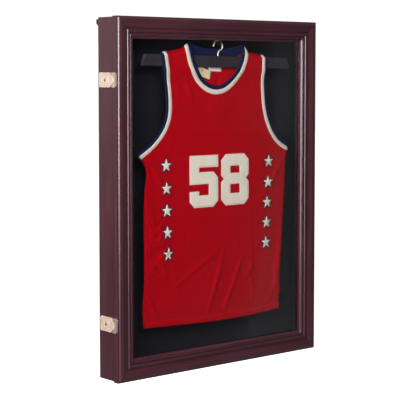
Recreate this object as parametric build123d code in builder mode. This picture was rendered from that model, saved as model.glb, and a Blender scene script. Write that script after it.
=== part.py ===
from build123d import *
import os

os.makedirs("parts", exist_ok=True)

# A wall-hung display case for a jersey: a shallow box with a hinged, glazed door.
# X runs to the right as seen from the front, Y runs back into the wall, Z is up.
# The origin is on the wall plane, midway between the holes of the two wall hangers.

# ---------------------------------------------------------------- driving sizes, millimetres

# Door moulding, measured inward from its outer edge and back from its front arris
door_width = 609.6
door_height = 812.8
door_edge = 16.45            # thickness at the outer edge
moulding_width = 49.0
lip = 2.6                    # flat outside the outer swell
swell_rise = 4.0             # how far the outer swell stands proud of the arris
swell_start = 9.0            # inward distance at which the swell is at its full height
swell_end = 14.0             # inward distance at which it starts to fall
field_start = 25.0           # inward distance of the flat field
field_depth = 1.0            # depth of the flat field behind the arris
bead_start = 28.5
bead_width = 7.5
bead_rise = 2.6              # height of the small bead over the field
step_start = 38.0
step_width = 5.0
step_depth = 2.2
sight_depth = 8.0            # depth of the inner, sight edge behind the arris
sight_lip = 3.0              # thickness of the lip that the pane lies against
rebate = 8.0                 # width of the rebate for the pane

# Pane and the beads that hold it
pane_thickness = 2.5
pane_clearance = 0.5
bead_strip_width = 7.5
bead_strip_thickness = 2.5

# Case
door_overhang = 1.75         # the door stands out past the case all round
door_gap = 1.0               # gap between the door's back and the case's front edge
case_depth = 55.2
board = 15.0                 # thickness of the four case boards
board_round = 1.5            # rounding of the boards' outer edges
panel_rebate = 6.0           # how far the back panel is let into the boards
panel_thickness = 4.0
panel_setback = 7.65         # depth of the recess behind the panel
panel_clearance = 0.5
felt_thickness = 3.0
liner_thickness = 1.5
panel_pin_radius = 0.8
panel_pin_length = 12.0
panel_pin_spacing = 150.0
panel_pin_head = 1.3         # radius
panel_pin_head_height = 0.6
panel_pin_end = 40.0         # last pin's distance from the panel's corner

# Wall hangers, bumpers and buffers
hanger_stand = 8.5           # the hangers hold the case this far off the wall
hanger_drop = 9.0            # hanger hole below the top of the case
hanger_strap = 1.6           # thickness of the strap
hanger_width = 13.0
hanger_inset = 1.5           # strap's edge from the case's outer face
hanger_tab = 5.0             # half height of the raised tab
hanger_ramp = 5.0            # height over which the strap slopes out to the tab
hanger_foot = 34.0           # height of the foot below the slope
hanger_screw_inset = 5.0     # screws' distance from the case's outer face
hanger_hole_radius = 2.5
bumper_radius = 4.0
bumper_round = 1.2
bumper_inset = 85.0          # bumper's distance from the case's side
buffer_radius = 3.5
buffer_inset = 30.0          # buffer's distance from the case's corner
body_clearance = 0.3         # gap between pieces that move apart

# Butt hinges on the right side
hinge_height = 40.0
hinge_leaf_width = 13.0
hinge_leaf = 1.2             # thickness of a leaf
hinge_leaf_split = 0.2       # gap between closed leaves
hinge_screw_inset = 5.5      # screws' distance from the leaf's free edge
hinge_screw_spacing = 12.5
knuckle_radius = 2.9
hinge_pin_radius = 1.3
hinge_pin_head = 2.0
hinge_pin_head_length = 1.5
hinge_end_inset = 106.0      # outer hinges' distance from the case's top and bottom
running_clearance = 0.05

# Wood screws
screw_shank = 1.25           # radius
screw_head = 2.3             # radius
screw_cone = 1.0             # height of the countersunk head
screw_length = 10.0
screw_slot = 0.7

# Box latches on the left side
latch_from_top = 138.65
latch_from_bottom = 126.65
latch_height = 33.0
latch_setback = 46.2         # cover's rear edge behind the case's front edge
latch_body = 40.0            # length of the cover at full height
latch_nose = 13.6            # length of the tapering nose
latch_nose_tip = 9.4         # height of the nose's tip
latch_nose_round = 1.5
latch_edge_round = 0.9
nose_clearance = 0.35        # gap between the nose and the catch plate
latch_corner = 5.0           # rounding of the rear corners
latch_base = 1.0             # thickness of the base plate
latch_wall = 1.2             # thickness of the cover's metal
latch_rise = 5.0             # cover's outer face from the case's side
latch_knuckle = 1.9          # radius
latch_knuckle_length = 20.0
latch_ear_length = 4.0
latch_pin_radius = 0.8
latch_knuckle_gap = 0.2      # gap between the knuckles and the base plate
latch_base_overlap = 3.0     # base plate's length under the nose
latch_screw_length = 11.0
latch_screw_ends = (9.0, 4.0)        # screws' distances from the base plate's two ends
latch_screw_inset = 6.0      # screws' distance from the latch's upper and lower edges
lock_radius = 3.5
lock_from_edge = 23.0        # lock's centre from the cover's rear edge
lock_depth = 7.0             # how far the plug reaches in from the cover's face
lock_flange = 4.6            # radius
lock_flange_thickness = 0.8
lock_cam_reach = 7.0
lock_cam_width = 4.0
lock_cam_thickness = 1.2
lock_pocket_radius = 9.0
lock_pocket_depth = 4.0
keyhole_radius = 0.9
keyhole_slot = 3.2
emboss_length = 20.0
emboss_height = 19.0
emboss_line = 1.4
emboss_rise = 0.4
emboss_round = 2.0
emboss_from_edge = 26.0      # embossed square's centre from the cover's rear edge
catch_plate = 1.0            # thickness of the catch plate on the door's edge
catch_length = 14.2
catch_setback = 0.9          # catch plate from the door's back
catch_corner = 5.5
catch_notch_gap = 0.8        # gap between the nose and the catch
catch_boss_radius = 3.4
catch_boss_length = 13.0
catch_screw_setback = 8.6    # screws' distance from the catch plate's rear edge
catch_screw_inset = 5.0      # screws' distance from the catch's upper and lower edges

# Peg, hook and hanger bar
hung_x = 9.0                 # the hung things' centre line from the case's centre line
hung_plane = 27.0            # depth of their middle plane behind the door's front arris
hung_drop = 404.65           # their level line below the top of the case
peg_radius = 4.0
peg_head_radius = 5.4
peg_head_thickness = 3.0
peg_head_round = 1.8
peg_reach = 4.0              # shaft in front of the hung plane, up to the head
peg_flange_radius = 8.0
peg_flange_thickness = 2.0
peg_tail_radius = 2.5
peg_tail_length = 6.0        # tail behind the back panel
nut_width = 8.0
nut_thickness = 4.0
nut_chamfer = 0.4
washer_radius = 6.0
washer_thickness = 1.0
hook_wire = 2.0              # radius
hook_bow = 13.5              # radius of the bow's centre line
hook_rise = 22.3             # bow's centre above the bar
hook_stem = 4.0              # straight stem above the bar
hook_socket = 12.0           # stem inside the bar
hook_socket_end = 0.5        # gap under the stem's end
bar_top = 321.5              # above the hung things' level line
bar_height = 27.0
bar_length_top = 440.0
bar_length_bottom = 460.0
bar_thickness = 9.0
bar_round = 3.0
bar_tilt = 0.75              # degrees, right end lower

# Jersey, as it hangs, from the case's centre line and the hung things' level line
cloth = 1.5                  # the folded cloth's thickness with its trims
jersey_depth = 16.0          # outside of the front to outside of the back
seam = 3.0                   # width of the closed side seam
shoulder_seam = 3.0
collar_left = (-84.0, 350.0)
collar_right = (91.0, 344.0)
neck_bottom = 253.0
neck_back = 341.0
neck_middle = 3.0
strap_left = (-163.0, 328.0)
strap_right = (160.0, 323.0)
armhole_left = (-146.0, 206.0)
armhole_right = (162.0, 214.0)
armpit_left = (-228.0, 97.0)
armpit_right = (236.0, 102.0)
waist_left = (-208.0, 20.0)
waist_right = (222.0, 20.0)
hem_left_x = -213.0
hem_right_x = 205.0
hem_clearance = (91.65, 88.65)       # hem's left and right corner above the case's inner bottom

# ---------------------------------------------------------------- places worked out from them

case_width = door_width - 2 * door_overhang
case_height = door_height - 2 * door_overhang
mid_z = hanger_drop - case_height / 2
case_back = -hanger_stand
case_front = case_back - case_depth
door_back = case_front - door_gap
door_front = door_back - door_edge
pane_front = door_front + sight_depth + sight_lip
pane_back = pane_front + pane_thickness
panel_back = case_back - panel_setback
panel_front = panel_back - panel_thickness
felt_front = panel_front - felt_thickness
hung_y = door_front + hung_plane
hung_z = hanger_drop - hung_drop
hem_level = mid_z - case_height / 2 + board - hung_z
hem_left = (hem_left_x, hem_level + hem_clearance[0])
hem_right = (hem_right_x, hem_level + hem_clearance[1])
case_face = -case_width / 2  # left side of the case
door_face = -door_width / 2  # left side of the door

CENTRE = (Align.CENTER, Align.CENTER, Align.CENTER)
ON_TOP = (Align.CENTER, Align.CENTER, Align.MIN)
BELOW = (Align.CENTER, Align.CENTER, Align.MAX)
LEFT, RIGHT = Vector(-1, 0, 0), Vector(1, 0, 0)
FORWARD, BACK, UP = Vector(0, -1, 0), Vector(0, 1, 0), Vector(0, 0, 1)
inward = {"left": RIGHT, "right": LEFT, "top": -UP, "bottom": UP}


def finish(piece, name):
    """Label a finished piece and write it."""
    piece.part.label = name
    export_step(piece.part, f"parts/{name}.step")


def along(span, spacing, end_inset):
    """Evenly spaced places along a length, no further apart than the spacing."""
    count = max(2, round((span - 2 * end_inset) / spacing) + 1)
    step = (span - 2 * end_inset) / (count - 1)
    return [end_inset - span / 2 + step * i for i in range(count)]


# ---------------------------------------------------------------- mitred lengths


def mitred(side, width, height, front, section):
    """A length of a section along one side of a rectangle, mitred at both ends.

    The section's X runs inward from the rectangle's edge, and its Y runs back from the front."""
    half_across = width / 2 if side in ("left", "right") else height / 2
    half_along = height / 2 if side in ("left", "right") else width / 2
    middle = Vector(0, front, mid_z) - inward[side] * half_across
    plane = Plane(origin=middle, x_dir=inward[side], z_dir=inward[side].cross(BACK))
    with BuildPart() as length:
        with BuildSketch(plane):
            add(section)
        extrude(amount=half_along, both=True)
        for end in (plane.z_dir, -plane.z_dir):
            cut = Plane(origin=middle + end * half_along, z_dir=end + inward[side])
            split(bisect_by=cut, keep=Keep.BOTTOM)
    return length.part


def strip_section(start, end, front, back):
    """A plain rectangular section."""
    with BuildSketch() as section:
        with Locations(((start + end) / 2, (front + back) / 2)):
            Rectangle(end - start, back - front)
    return section.sketch


def moulding_section():
    """The door's moulding: a broad outer swell, a flat field, a bead, a step and a cove."""
    bead_end = bead_start + bead_width
    step_end = step_start + step_width
    pane_rebate = moulding_width - rebate
    back_of_lip = sight_depth + sight_lip
    with BuildSketch() as section:
        with BuildLine():
            Polyline((lip, 0), (0, 0), (0, door_edge), (pane_rebate, door_edge),
                     (pane_rebate, back_of_lip), (moulding_width, back_of_lip),
                     (moulding_width, sight_depth))
            ThreePointArc((moulding_width, sight_depth),
                          (step_end + 0.3 * (moulding_width - step_end),
                           step_depth + 0.62 * (sight_depth - step_depth)),
                          (step_end, step_depth))
            ThreePointArc((step_end, step_depth),
                          (step_start + step_width / 2, step_depth - step_width / 4),
                          (step_start, step_depth))
            Polyline((step_start, step_depth), (bead_end, step_depth), (bead_end, field_depth))
            ThreePointArc((bead_end, field_depth),
                          (bead_start + bead_width / 2, field_depth - bead_rise),
                          (bead_start, field_depth))
            Polyline((bead_start, field_depth), (field_start, field_depth), (field_start, 0))
            ThreePointArc((field_start, 0),
                          ((field_start + swell_end) / 2, -0.42 * swell_rise),
                          (swell_end, -0.9 * swell_rise))
            ThreePointArc((swell_end, -0.9 * swell_rise),
                          ((swell_start + swell_end) / 2, -swell_rise),
                          (swell_start, -0.9 * swell_rise))
            ThreePointArc((swell_start, -0.9 * swell_rise),
                          (lip + 0.3 * (swell_start - lip), -0.6 * swell_rise),
                          (lip, 0))
        make_face()
    return section.sketch


def board_section():
    """A case board, let in at the back for the panel and rounded on its outer edges."""
    shoulder = panel_front - case_front
    with BuildSketch() as section:
        with BuildLine():
            Polyline((0, 0), (board, 0), (board, shoulder), (board - panel_rebate, shoulder),
                     (board - panel_rebate, case_depth), (0, case_depth), close=True)
        make_face()
        fillet(section.vertices().group_by(Axis.X)[0], board_round)
    return section.sketch


# ---------------------------------------------------------------- wood screws


def screw(length=screw_length):
    """A countersunk screw, its head's face at the origin and its shank below."""
    with BuildPart() as fastener:
        Cylinder(screw_shank, length, align=BELOW)
        Cone(screw_shank, screw_head, screw_cone, align=BELOW)
        for turn in (0, 90):
            Box(1.5 * screw_head, screw_slot, screw_slot, rotation=(0, 0, turn), align=BELOW,
                mode=Mode.SUBTRACT)
    return fastener.part


def pilot(length=screw_length):
    """The hole that such a screw fills, below the origin."""
    with BuildPart() as hole:
        Cylinder(screw_shank, length, align=BELOW)
        Cone(screw_shank, screw_head, screw_cone, align=BELOW)
    return hole.part


# ---------------------------------------------------------------- places of the fittings

hinge_x = door_width / 2 + knuckle_radius + body_clearance
hinge_y = (case_front + door_back) / 2
hinge_reach = case_height / 2 - hinge_end_inset
hinges = {"upper": mid_z + hinge_reach, "middle": mid_z, "lower": mid_z - hinge_reach}
leaf_inner = case_width / 2 - hinge_leaf_width
hinge_screw_x = leaf_inner + hinge_screw_inset
hinge_screw_places = [(hinge_screw_x, z + step * hinge_screw_spacing)
                      for z in hinges.values() for step in (-1, 0, 1)]
leaf_face_case = hinge_y + hinge_leaf_split / 2
leaf_face_door = hinge_y - hinge_leaf_split / 2
case_hinge_screws = [Plane(origin=(x, leaf_face_case, z), z_dir=FORWARD)
                     for x, z in hinge_screw_places]
door_hinge_screws = [Plane(origin=(x, leaf_face_door, z), z_dir=BACK)
                     for x, z in hinge_screw_places]

latches = {"upper": mid_z + case_height / 2 - latch_from_top,
           "lower": mid_z - case_height / 2 + latch_from_bottom}
latch_rear = case_front + latch_setback
latch_axis_y = latch_rear - latch_knuckle
latch_axis_x = case_face - latch_base - latch_knuckle - latch_knuckle_gap
lock_y = latch_rear - lock_from_edge
latch_base_front = latch_rear - latch_body - latch_base_overlap
latch_screw_ys = (latch_rear - latch_screw_ends[0], latch_base_front + latch_screw_ends[1])
latch_screw_z = latch_height / 2 - latch_screw_inset
latch_screws = [Plane(origin=(case_face - latch_base, y, z + up * latch_screw_z), z_dir=LEFT)
                for z in latches.values() for y in latch_screw_ys for up in (-1, 1)]
catch_back = door_back - catch_setback
catch_front = catch_back - catch_length
catch_screw_y = catch_back - catch_screw_setback
catch_screw_z = latch_height / 2 - catch_screw_inset
catch_screws = [Plane(origin=(door_face - latch_rise + door_overhang, catch_screw_y,
                              z + up * catch_screw_z), z_dir=LEFT)
                for z in latches.values() for up in (-1, 1)]

hanger_x = case_width / 2 - hanger_inset - hanger_width / 2
hanger_screw_x = case_width / 2 - hanger_screw_inset
hanger_screw_zs = [-hanger_tab - hanger_ramp - hanger_foot * share for share in (0.25, 0.75)]
hanger_screws = [Plane(origin=(side * hanger_screw_x, case_back + hanger_strap, z), z_dir=BACK)
                 for side in (-1, 1) for z in hanger_screw_zs]

buffer_x = -case_width / 2 + board / 2
buffers = [(buffer_x, mid_z + up * (case_height / 2 - buffer_inset)) for up in (-1, 1)]
bumper_z = mid_z - case_height / 2 + (board - panel_rebate) / 2
bumpers = [(side * (case_width / 2 - bumper_inset), bumper_z) for side in (-1, 1)]

pin_inset = board - panel_rebate / 2       # panel pins run into the middle of the rebate's shoulder
pin_xs = along(case_width - 2 * pin_inset, panel_pin_spacing, panel_pin_end)
pin_zs = along(case_height - 2 * pin_inset, panel_pin_spacing, panel_pin_end)
panel_pins = ([(side * (case_width / 2 - pin_inset), mid_z + z) for side in (-1, 1) for z in pin_zs]
              + [(x, mid_z + side * (case_height / 2 - pin_inset)) for side in (-1, 1) for x in pin_xs])
panel_pin_planes = [Plane(origin=(x, panel_back, z), z_dir=BACK) for x, z in panel_pins]

# ---------------------------------------------------------------- case

case_section = board_section()
fittings_in_board = {
    "left": (latch_screws, latch_screw_length),
    "right": (case_hinge_screws, screw_length),
}
for side in ("left", "right", "top", "bottom"):
    with BuildPart() as case_board:
        add(mitred(side, case_width, case_height, case_front, case_section))
        with Locations(*panel_pin_planes):
            Cylinder(panel_pin_radius, panel_pin_length, align=BELOW, mode=Mode.SUBTRACT)
        if side in ("left", "right"):
            planes, length = fittings_in_board[side]
            with Locations(*planes):
                add(pilot(length), mode=Mode.SUBTRACT)
            with Locations(*hanger_screws):
                add(pilot(), mode=Mode.SUBTRACT)
        if side == "right":
            for z in hinges.values():
                with Locations((leaf_inner, case_front, z)):
                    Box(board + 1, 2 * (leaf_face_case + hinge_leaf - case_front), hinge_height,
                        align=(Align.MIN, Align.CENTER, Align.CENTER), mode=Mode.SUBTRACT)
        if side == "left":
            for z in latches.values():
                with Locations(Plane(origin=(case_face, lock_y, z), z_dir=LEFT)):
                    Cylinder(lock_pocket_radius, lock_pocket_depth, align=BELOW,
                             mode=Mode.SUBTRACT)
    finish(case_board, f"case_side_{side}" if side in ("left", "right") else f"case_{side}")

    with BuildPart() as liner:
        add(mitred(side, case_width, case_height, case_front,
                   strip_section(board, board + liner_thickness, body_clearance,
                                 felt_front - case_front)))
    finish(liner, f"liner_{side}")

with BuildPart() as back_panel:
    with BuildSketch(Plane(origin=(0, panel_back, mid_z), x_dir=RIGHT, z_dir=BACK)):
        Rectangle(case_width - 2 * (board - panel_rebate + panel_clearance),
                  case_height - 2 * (board - panel_rebate + panel_clearance))
    extrude(amount=-panel_thickness)
    with Locations(*panel_pin_planes):
        Cylinder(panel_pin_radius, panel_thickness, align=BELOW, mode=Mode.SUBTRACT)

with BuildPart() as back_felt:
    with BuildSketch(Plane(origin=(0, panel_front, mid_z), x_dir=RIGHT, z_dir=BACK)):
        Rectangle(case_width - 2 * (board + panel_clearance),
                  case_height - 2 * (board + panel_clearance))
    extrude(amount=-felt_thickness)

with BuildPart() as panel_pins_group:
    with Locations(*panel_pin_planes):
        Cylinder(panel_pin_radius, panel_pin_length, align=BELOW)
        Cylinder(panel_pin_head, panel_pin_head_height, align=ON_TOP)
finish(panel_pins_group, "panel_pins")

# ---------------------------------------------------------------- peg with its nut

hook_bow_z = hung_z + bar_top + hook_rise
peg_z = hook_bow_z + hook_bow - hook_wire - peg_radius - body_clearance
peg_axis = Plane(origin=(hung_x, felt_front, peg_z), z_dir=FORWARD)
peg_shaft = felt_front - hung_y + peg_reach

with BuildPart() as hanger_peg:
    with Locations(peg_axis):
        Cylinder(peg_flange_radius, peg_flange_thickness, align=ON_TOP)
        Cylinder(peg_radius, peg_shaft, align=ON_TOP)
        Cylinder(peg_tail_radius, felt_thickness + panel_thickness + peg_tail_length, align=BELOW)
    with Locations(peg_axis.offset(peg_shaft)):
        Cylinder(peg_head_radius, peg_head_thickness, align=ON_TOP)
    fillet(hanger_peg.faces().sort_by(Axis.Y)[0].edges(), peg_head_round)
finish(hanger_peg, "hanger_peg")

for sheet in (back_panel, back_felt):
    with sheet:
        with Locations(peg_axis):
            Cylinder(peg_tail_radius + running_clearance,
                     2 * (felt_thickness + panel_thickness + 1), mode=Mode.SUBTRACT)
finish(back_panel, "back_panel")
finish(back_felt, "back_felt")

washer_plane = Plane(origin=(hung_x, panel_back, peg_z), z_dir=BACK)
with BuildPart() as peg_washer:
    with BuildSketch(washer_plane):
        Circle(washer_radius)
        Circle(peg_tail_radius + running_clearance, mode=Mode.SUBTRACT)
    extrude(amount=washer_thickness)
finish(peg_washer, "peg_washer")

with BuildPart() as peg_nut:
    with BuildSketch(washer_plane.offset(washer_thickness)):
        RegularPolygon(nut_width / 2, 6, major_radius=False)
        Circle(peg_tail_radius + running_clearance, mode=Mode.SUBTRACT)
    extrude(amount=nut_thickness)
    chamfer(peg_nut.faces().sort_by(Axis.Y)[-1].outer_wire().edges(), nut_chamfer)
finish(peg_nut, "peg_nut")

# ---------------------------------------------------------------- wall hangers, bumpers, buffers

tab_back, tab_front = 0, -hanger_strap
foot_back, foot_front = case_back + hanger_strap, case_back
ramp_start = -hanger_tab
ramp_end = ramp_start - hanger_ramp
for side, sign in (("left", -1), ("right", 1)):
    with BuildPart() as wall_hanger:
        with BuildSketch(Plane(origin=(sign * hanger_x, 0, 0), x_dir=BACK, z_dir=RIGHT)):
            with BuildLine():
                Polyline((tab_back, hanger_tab), (tab_back, ramp_start), (foot_back, ramp_end),
                         (foot_back, ramp_end - hanger_foot), (foot_front, ramp_end - hanger_foot),
                         (foot_front, ramp_end + hanger_strap / 2),
                         (tab_front, ramp_start + hanger_strap / 2), (tab_front, hanger_tab),
                         close=True)
            make_face()
        extrude(amount=hanger_width / 2, both=True)
        with Locations(Plane(origin=(sign * hanger_x, 0, 0), z_dir=BACK)):
            Cylinder(hanger_hole_radius, 4 * hanger_strap, mode=Mode.SUBTRACT)
        with Locations(*hanger_screws):
            add(pilot(), mode=Mode.SUBTRACT)
    finish(wall_hanger, f"wall_hanger_{side}")

with BuildPart() as wall_hanger_screws:
    with Locations(*hanger_screws):
        add(screw())
finish(wall_hanger_screws, "wall_hanger_screws")

with BuildPart() as wall_bumpers:
    with Locations(*[Plane(origin=(x, case_back, z), z_dir=BACK) for x, z in bumpers]):
        Cylinder(bumper_radius, hanger_stand, align=ON_TOP)
    fillet(wall_bumpers.faces().group_by(Axis.Y)[-1].edges(), bumper_round)
finish(wall_bumpers, "wall_bumpers")

with BuildPart() as door_buffers:
    with Locations(*[Plane(origin=(x, case_front, z), z_dir=FORWARD) for x, z in buffers]):
        Cylinder(buffer_radius, door_gap - body_clearance, align=ON_TOP)
finish(door_buffers, "door_buffers")

# ---------------------------------------------------------------- door

door_section = moulding_section()
for side in ("left", "right", "top", "bottom"):
    with BuildPart() as door_member:
        add(mitred(side, door_width, door_height, door_front, door_section))
        if side == "right":
            with Locations(*door_hinge_screws):
                add(pilot(), mode=Mode.SUBTRACT)
            for z in hinges.values():
                with Locations((leaf_inner, door_back, z)):
                    Box(board + 3, 2 * (door_back - leaf_face_door + hinge_leaf), hinge_height,
                        align=(Align.MIN, Align.CENTER, Align.CENTER), mode=Mode.SUBTRACT)
        if side == "left":
            with Locations(*catch_screws):
                add(pilot(), mode=Mode.SUBTRACT)
    finish(door_member, f"door_stile_{side}" if side in ("left", "right") else f"door_rail_{side}")

    bead_outer = moulding_width - rebate
    with BuildPart() as glazing_bead:
        add(mitred(side, door_width, door_height, door_front,
                   strip_section(bead_outer, bead_outer + bead_strip_width,
                                 pane_back - door_front,
                                 pane_back + bead_strip_thickness - door_front)))
    finish(glazing_bead, f"glazing_bead_{side}")

with BuildPart() as pane:
    with BuildSketch(Plane(origin=(0, pane_front, mid_z), x_dir=RIGHT, z_dir=BACK)):
        Rectangle(door_width - 2 * (moulding_width - rebate + pane_clearance),
                  door_height - 2 * (moulding_width - rebate + pane_clearance))
    extrude(amount=pane_thickness)
finish(pane, "pane")

# ---------------------------------------------------------------- hinges

door_knuckle = hinge_height / 3
for name, z in hinges.items():
    axis = Plane(origin=(hinge_x, hinge_y, z))
    with BuildPart() as case_leaf:
        with Locations((leaf_inner, leaf_face_case, z)):
            Box(hinge_x - leaf_inner, hinge_leaf, hinge_height,
                align=(Align.MIN, Align.MIN, Align.CENTER))
        with Locations(axis):
            Cylinder(knuckle_radius, hinge_height)
            Cylinder(knuckle_radius + body_clearance, door_knuckle + 2 * body_clearance,
                     mode=Mode.SUBTRACT)
            Cylinder(hinge_pin_radius, 2 * hinge_height, mode=Mode.SUBTRACT)
        with Locations(*case_hinge_screws):
            add(pilot(), mode=Mode.SUBTRACT)
    finish(case_leaf, f"hinge_{name}_case_leaf")

    with BuildPart() as door_leaf:
        with Locations((leaf_inner, leaf_face_door, z)):
            Box(hinge_x - leaf_inner, hinge_leaf, hinge_height,
                align=(Align.MIN, Align.MAX, Align.CENTER))
        with Locations(axis):
            Cylinder(knuckle_radius + body_clearance, 2 * hinge_height, mode=Mode.SUBTRACT)
            Cylinder(knuckle_radius, door_knuckle)
        with Locations((hinge_x, leaf_face_door, z)):
            Box(knuckle_radius + 2 * body_clearance, hinge_leaf, door_knuckle,
                align=(Align.MAX, Align.MAX, Align.CENTER))
        with Locations(axis):
            Cylinder(hinge_pin_radius + running_clearance, 2 * hinge_height, mode=Mode.SUBTRACT)
        with Locations(*door_hinge_screws):
            add(pilot(), mode=Mode.SUBTRACT)
    finish(door_leaf, f"hinge_{name}_door_leaf")

with BuildPart() as hinge_pins:
    for z in hinges.values():
        with Locations((hinge_x, hinge_y, z)):
            Cylinder(hinge_pin_radius, hinge_height)
        for up in (-1, 1):
            with Locations((hinge_x, hinge_y, z + up * (hinge_height + hinge_pin_head_length) / 2)):
                Cylinder(hinge_pin_head, hinge_pin_head_length)
finish(hinge_pins, "hinge_pins")

for piece_name, planes in (("hinge_case_screws", case_hinge_screws),
                           ("hinge_door_screws", door_hinge_screws)):
    with BuildPart() as hinge_screws:
        with Locations(*planes):
            add(screw())
    finish(hinge_screws, piece_name)

# ---------------------------------------------------------------- latches


def on_side(depth_y, z):
    """A plane on the left side: X forward to the door, Y up, Z out to the left."""
    return Plane(origin=(case_face, depth_y, z), x_dir=FORWARD, z_dir=LEFT)


def cover_outline(inset=0.0):
    """The cover seen from the left: a box with round rear corners and a tapering nose.

    X is measured forward from the cover's rear edge. The inset draws it smaller all round."""
    half = latch_height / 2
    tip = latch_nose_tip / 2
    length = latch_body + latch_nose
    with BuildSketch() as outline:
        with BuildLine():
            Polyline((0, -half), (latch_body, -half), (length, -tip), (length, tip),
                     (latch_body, half), (0, half), close=True)
        make_face()
        fillet(outline.vertices().group_by(Axis.X)[0], latch_corner)
        fillet(outline.vertices().group_by(Axis.X)[-1], latch_nose_round)
        if inset:
            offset(amount=-inset, mode=Mode.REPLACE)
    return outline.sketch


cover_foot = latch_base + body_clearance        # height of the cover's lower edge
nose_foot = door_overhang + catch_plate + nose_clearance  # height of the nose's lower edge over the door
cover_skin = latch_rise - latch_wall
for name, z in latches.items():
    rear = on_side(latch_rear, z)
    axis = Plane(origin=(latch_axis_x, latch_axis_y, z))
    ear_z = (latch_knuckle_length + latch_ear_length) / 2 + body_clearance

    with BuildPart() as latch_plate:
        with BuildSketch(rear):
            with Locations((latch_knuckle, 0)):
                Rectangle(latch_rear - latch_base_front - latch_knuckle,
                          latch_height - 2 * latch_wall - 2,
                          align=(Align.MIN, Align.CENTER))
        extrude(amount=latch_base)
        for up in (-1, 1):
            with Locations((latch_axis_x, latch_axis_y, z + up * ear_z)):
                Cylinder(latch_knuckle, latch_ear_length)
            with Locations((case_face, latch_axis_y, z + up * ear_z)):
                Box(case_face - latch_axis_x, latch_knuckle * 1.6, latch_ear_length,
                    align=(Align.MAX, Align.CENTER, Align.CENTER))
        with Locations(axis):
            Cylinder(latch_pin_radius, 2 * latch_height, mode=Mode.SUBTRACT)
            Cylinder(latch_knuckle + running_clearance, latch_knuckle_length + 2 * body_clearance,
                     mode=Mode.SUBTRACT)
        with Locations(on_side(lock_y, z)):
            Cylinder(lock_pocket_radius, 4 * latch_base, mode=Mode.SUBTRACT)
        with Locations(*latch_screws):
            add(pilot(), mode=Mode.SUBTRACT)
    finish(latch_plate, f"latch_{name}_base")

    with BuildPart() as cover:
        with BuildSketch(rear.offset(cover_foot)):
            add(cover_outline())
        extrude(amount=latch_rise - cover_foot)
        fillet(cover.faces().sort_by(Axis.X)[0].edges(), latch_edge_round)
        with BuildSketch(rear.offset(cover_foot)):
            add(cover_outline(latch_wall))
        extrude(amount=cover_skin - cover_foot, mode=Mode.SUBTRACT)
        # the nose clears the door's edge, and nothing stands behind the hinge's axis
        with Locations(on_side(case_front, z)):
            Box(4 * latch_nose, latch_height, 2 * nose_foot,
                align=(Align.MIN, Align.CENTER, Align.CENTER), mode=Mode.SUBTRACT)
        with Locations(rear):
            Box(2 * latch_knuckle, 2 * latch_height, 4 * latch_rise, mode=Mode.SUBTRACT)
        with Locations((latch_axis_x, latch_axis_y, z)):
            Cylinder(latch_knuckle + body_clearance, 2 * latch_height, mode=Mode.SUBTRACT)
            Cylinder(latch_knuckle, latch_knuckle_length)
            with Locations((0, -latch_knuckle, 0)):
                Box(latch_wall, 2 * latch_knuckle, latch_knuckle_length,
                    align=(Align.MAX, Align.CENTER, Align.CENTER))
        with BuildSketch(on_side(latch_rear - emboss_from_edge, z).offset(latch_rise)):
            RectangleRounded(emboss_length, emboss_height, emboss_round)
            RectangleRounded(emboss_length - 2 * emboss_line, emboss_height - 2 * emboss_line,
                             emboss_round - emboss_line / 2, mode=Mode.SUBTRACT)
        extrude(amount=emboss_rise)
        with Locations(axis):
            Cylinder(latch_pin_radius + running_clearance, 2 * latch_height, mode=Mode.SUBTRACT)
        with Locations(on_side(lock_y, z)):
            Cylinder(lock_radius + running_clearance, 4 * latch_rise, mode=Mode.SUBTRACT)
    finish(cover, f"latch_{name}_cover")

    with BuildPart() as latch_pin:
        with Locations(axis):
            Cylinder(latch_pin_radius, 2 * (ear_z + latch_ear_length / 2))
    finish(latch_pin, f"latch_{name}_pin")

    lock_face = on_side(lock_y, z).offset(latch_rise + emboss_rise)
    with BuildPart() as lock_plug:
        with Locations(lock_face):
            Cylinder(lock_radius, lock_depth, align=BELOW)
            Cylinder(keyhole_radius, lock_depth / 2, align=BELOW, mode=Mode.SUBTRACT)
            Box(keyhole_slot, 0.9 * keyhole_radius, lock_depth / 2,
                align=(Align.MIN, Align.CENTER, Align.MAX), mode=Mode.SUBTRACT)
        with Locations(on_side(lock_y, z).offset(cover_skin - running_clearance)):
            Cylinder(lock_flange, lock_flange_thickness, align=BELOW)
        with Locations(lock_face.offset(-lock_depth)):
            Box(lock_cam_reach, lock_cam_width, lock_cam_thickness,
                align=(Align.MIN, Align.CENTER, Align.MIN))
    finish(lock_plug, f"lock_{name}_plug")

    with BuildPart() as catch:
        with BuildSketch(on_side(catch_back, z).offset(door_overhang)) as plate_outline:
            Rectangle(catch_length, latch_height, align=(Align.MIN, Align.CENTER))
            fillet(plate_outline.vertices().group_by(Axis.X)[-1], catch_corner)
        extrude(amount=catch_plate)
        with BuildSketch(on_side(catch_back, z).offset(door_overhang)) as raised_outline:
            Rectangle(catch_length, latch_height, align=(Align.MIN, Align.CENTER))
            fillet(raised_outline.vertices().group_by(Axis.X)[-1], catch_corner)
        extrude(amount=latch_rise - door_overhang)
        with BuildSketch(rear.offset(door_overhang + catch_plate)):
            add(cover_outline(-catch_notch_gap))
        extrude(amount=2 * latch_rise, mode=Mode.SUBTRACT)
        boss_y = latch_rear - latch_body - latch_nose - catch_notch_gap - catch_boss_radius
        with Locations(Plane(origin=(door_face, boss_y, z))):
            Cylinder(catch_boss_radius, catch_boss_length)
        split(bisect_by=Plane(origin=(door_face, 0, 0), z_dir=LEFT), keep=Keep.TOP)
        with Locations(*catch_screws):
            add(pilot(), mode=Mode.SUBTRACT)
    finish(catch, f"catch_{name}")

with BuildPart() as latch_screw_group:
    with Locations(*latch_screws):
        add(screw(latch_screw_length))
finish(latch_screw_group, "latch_screws")

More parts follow.
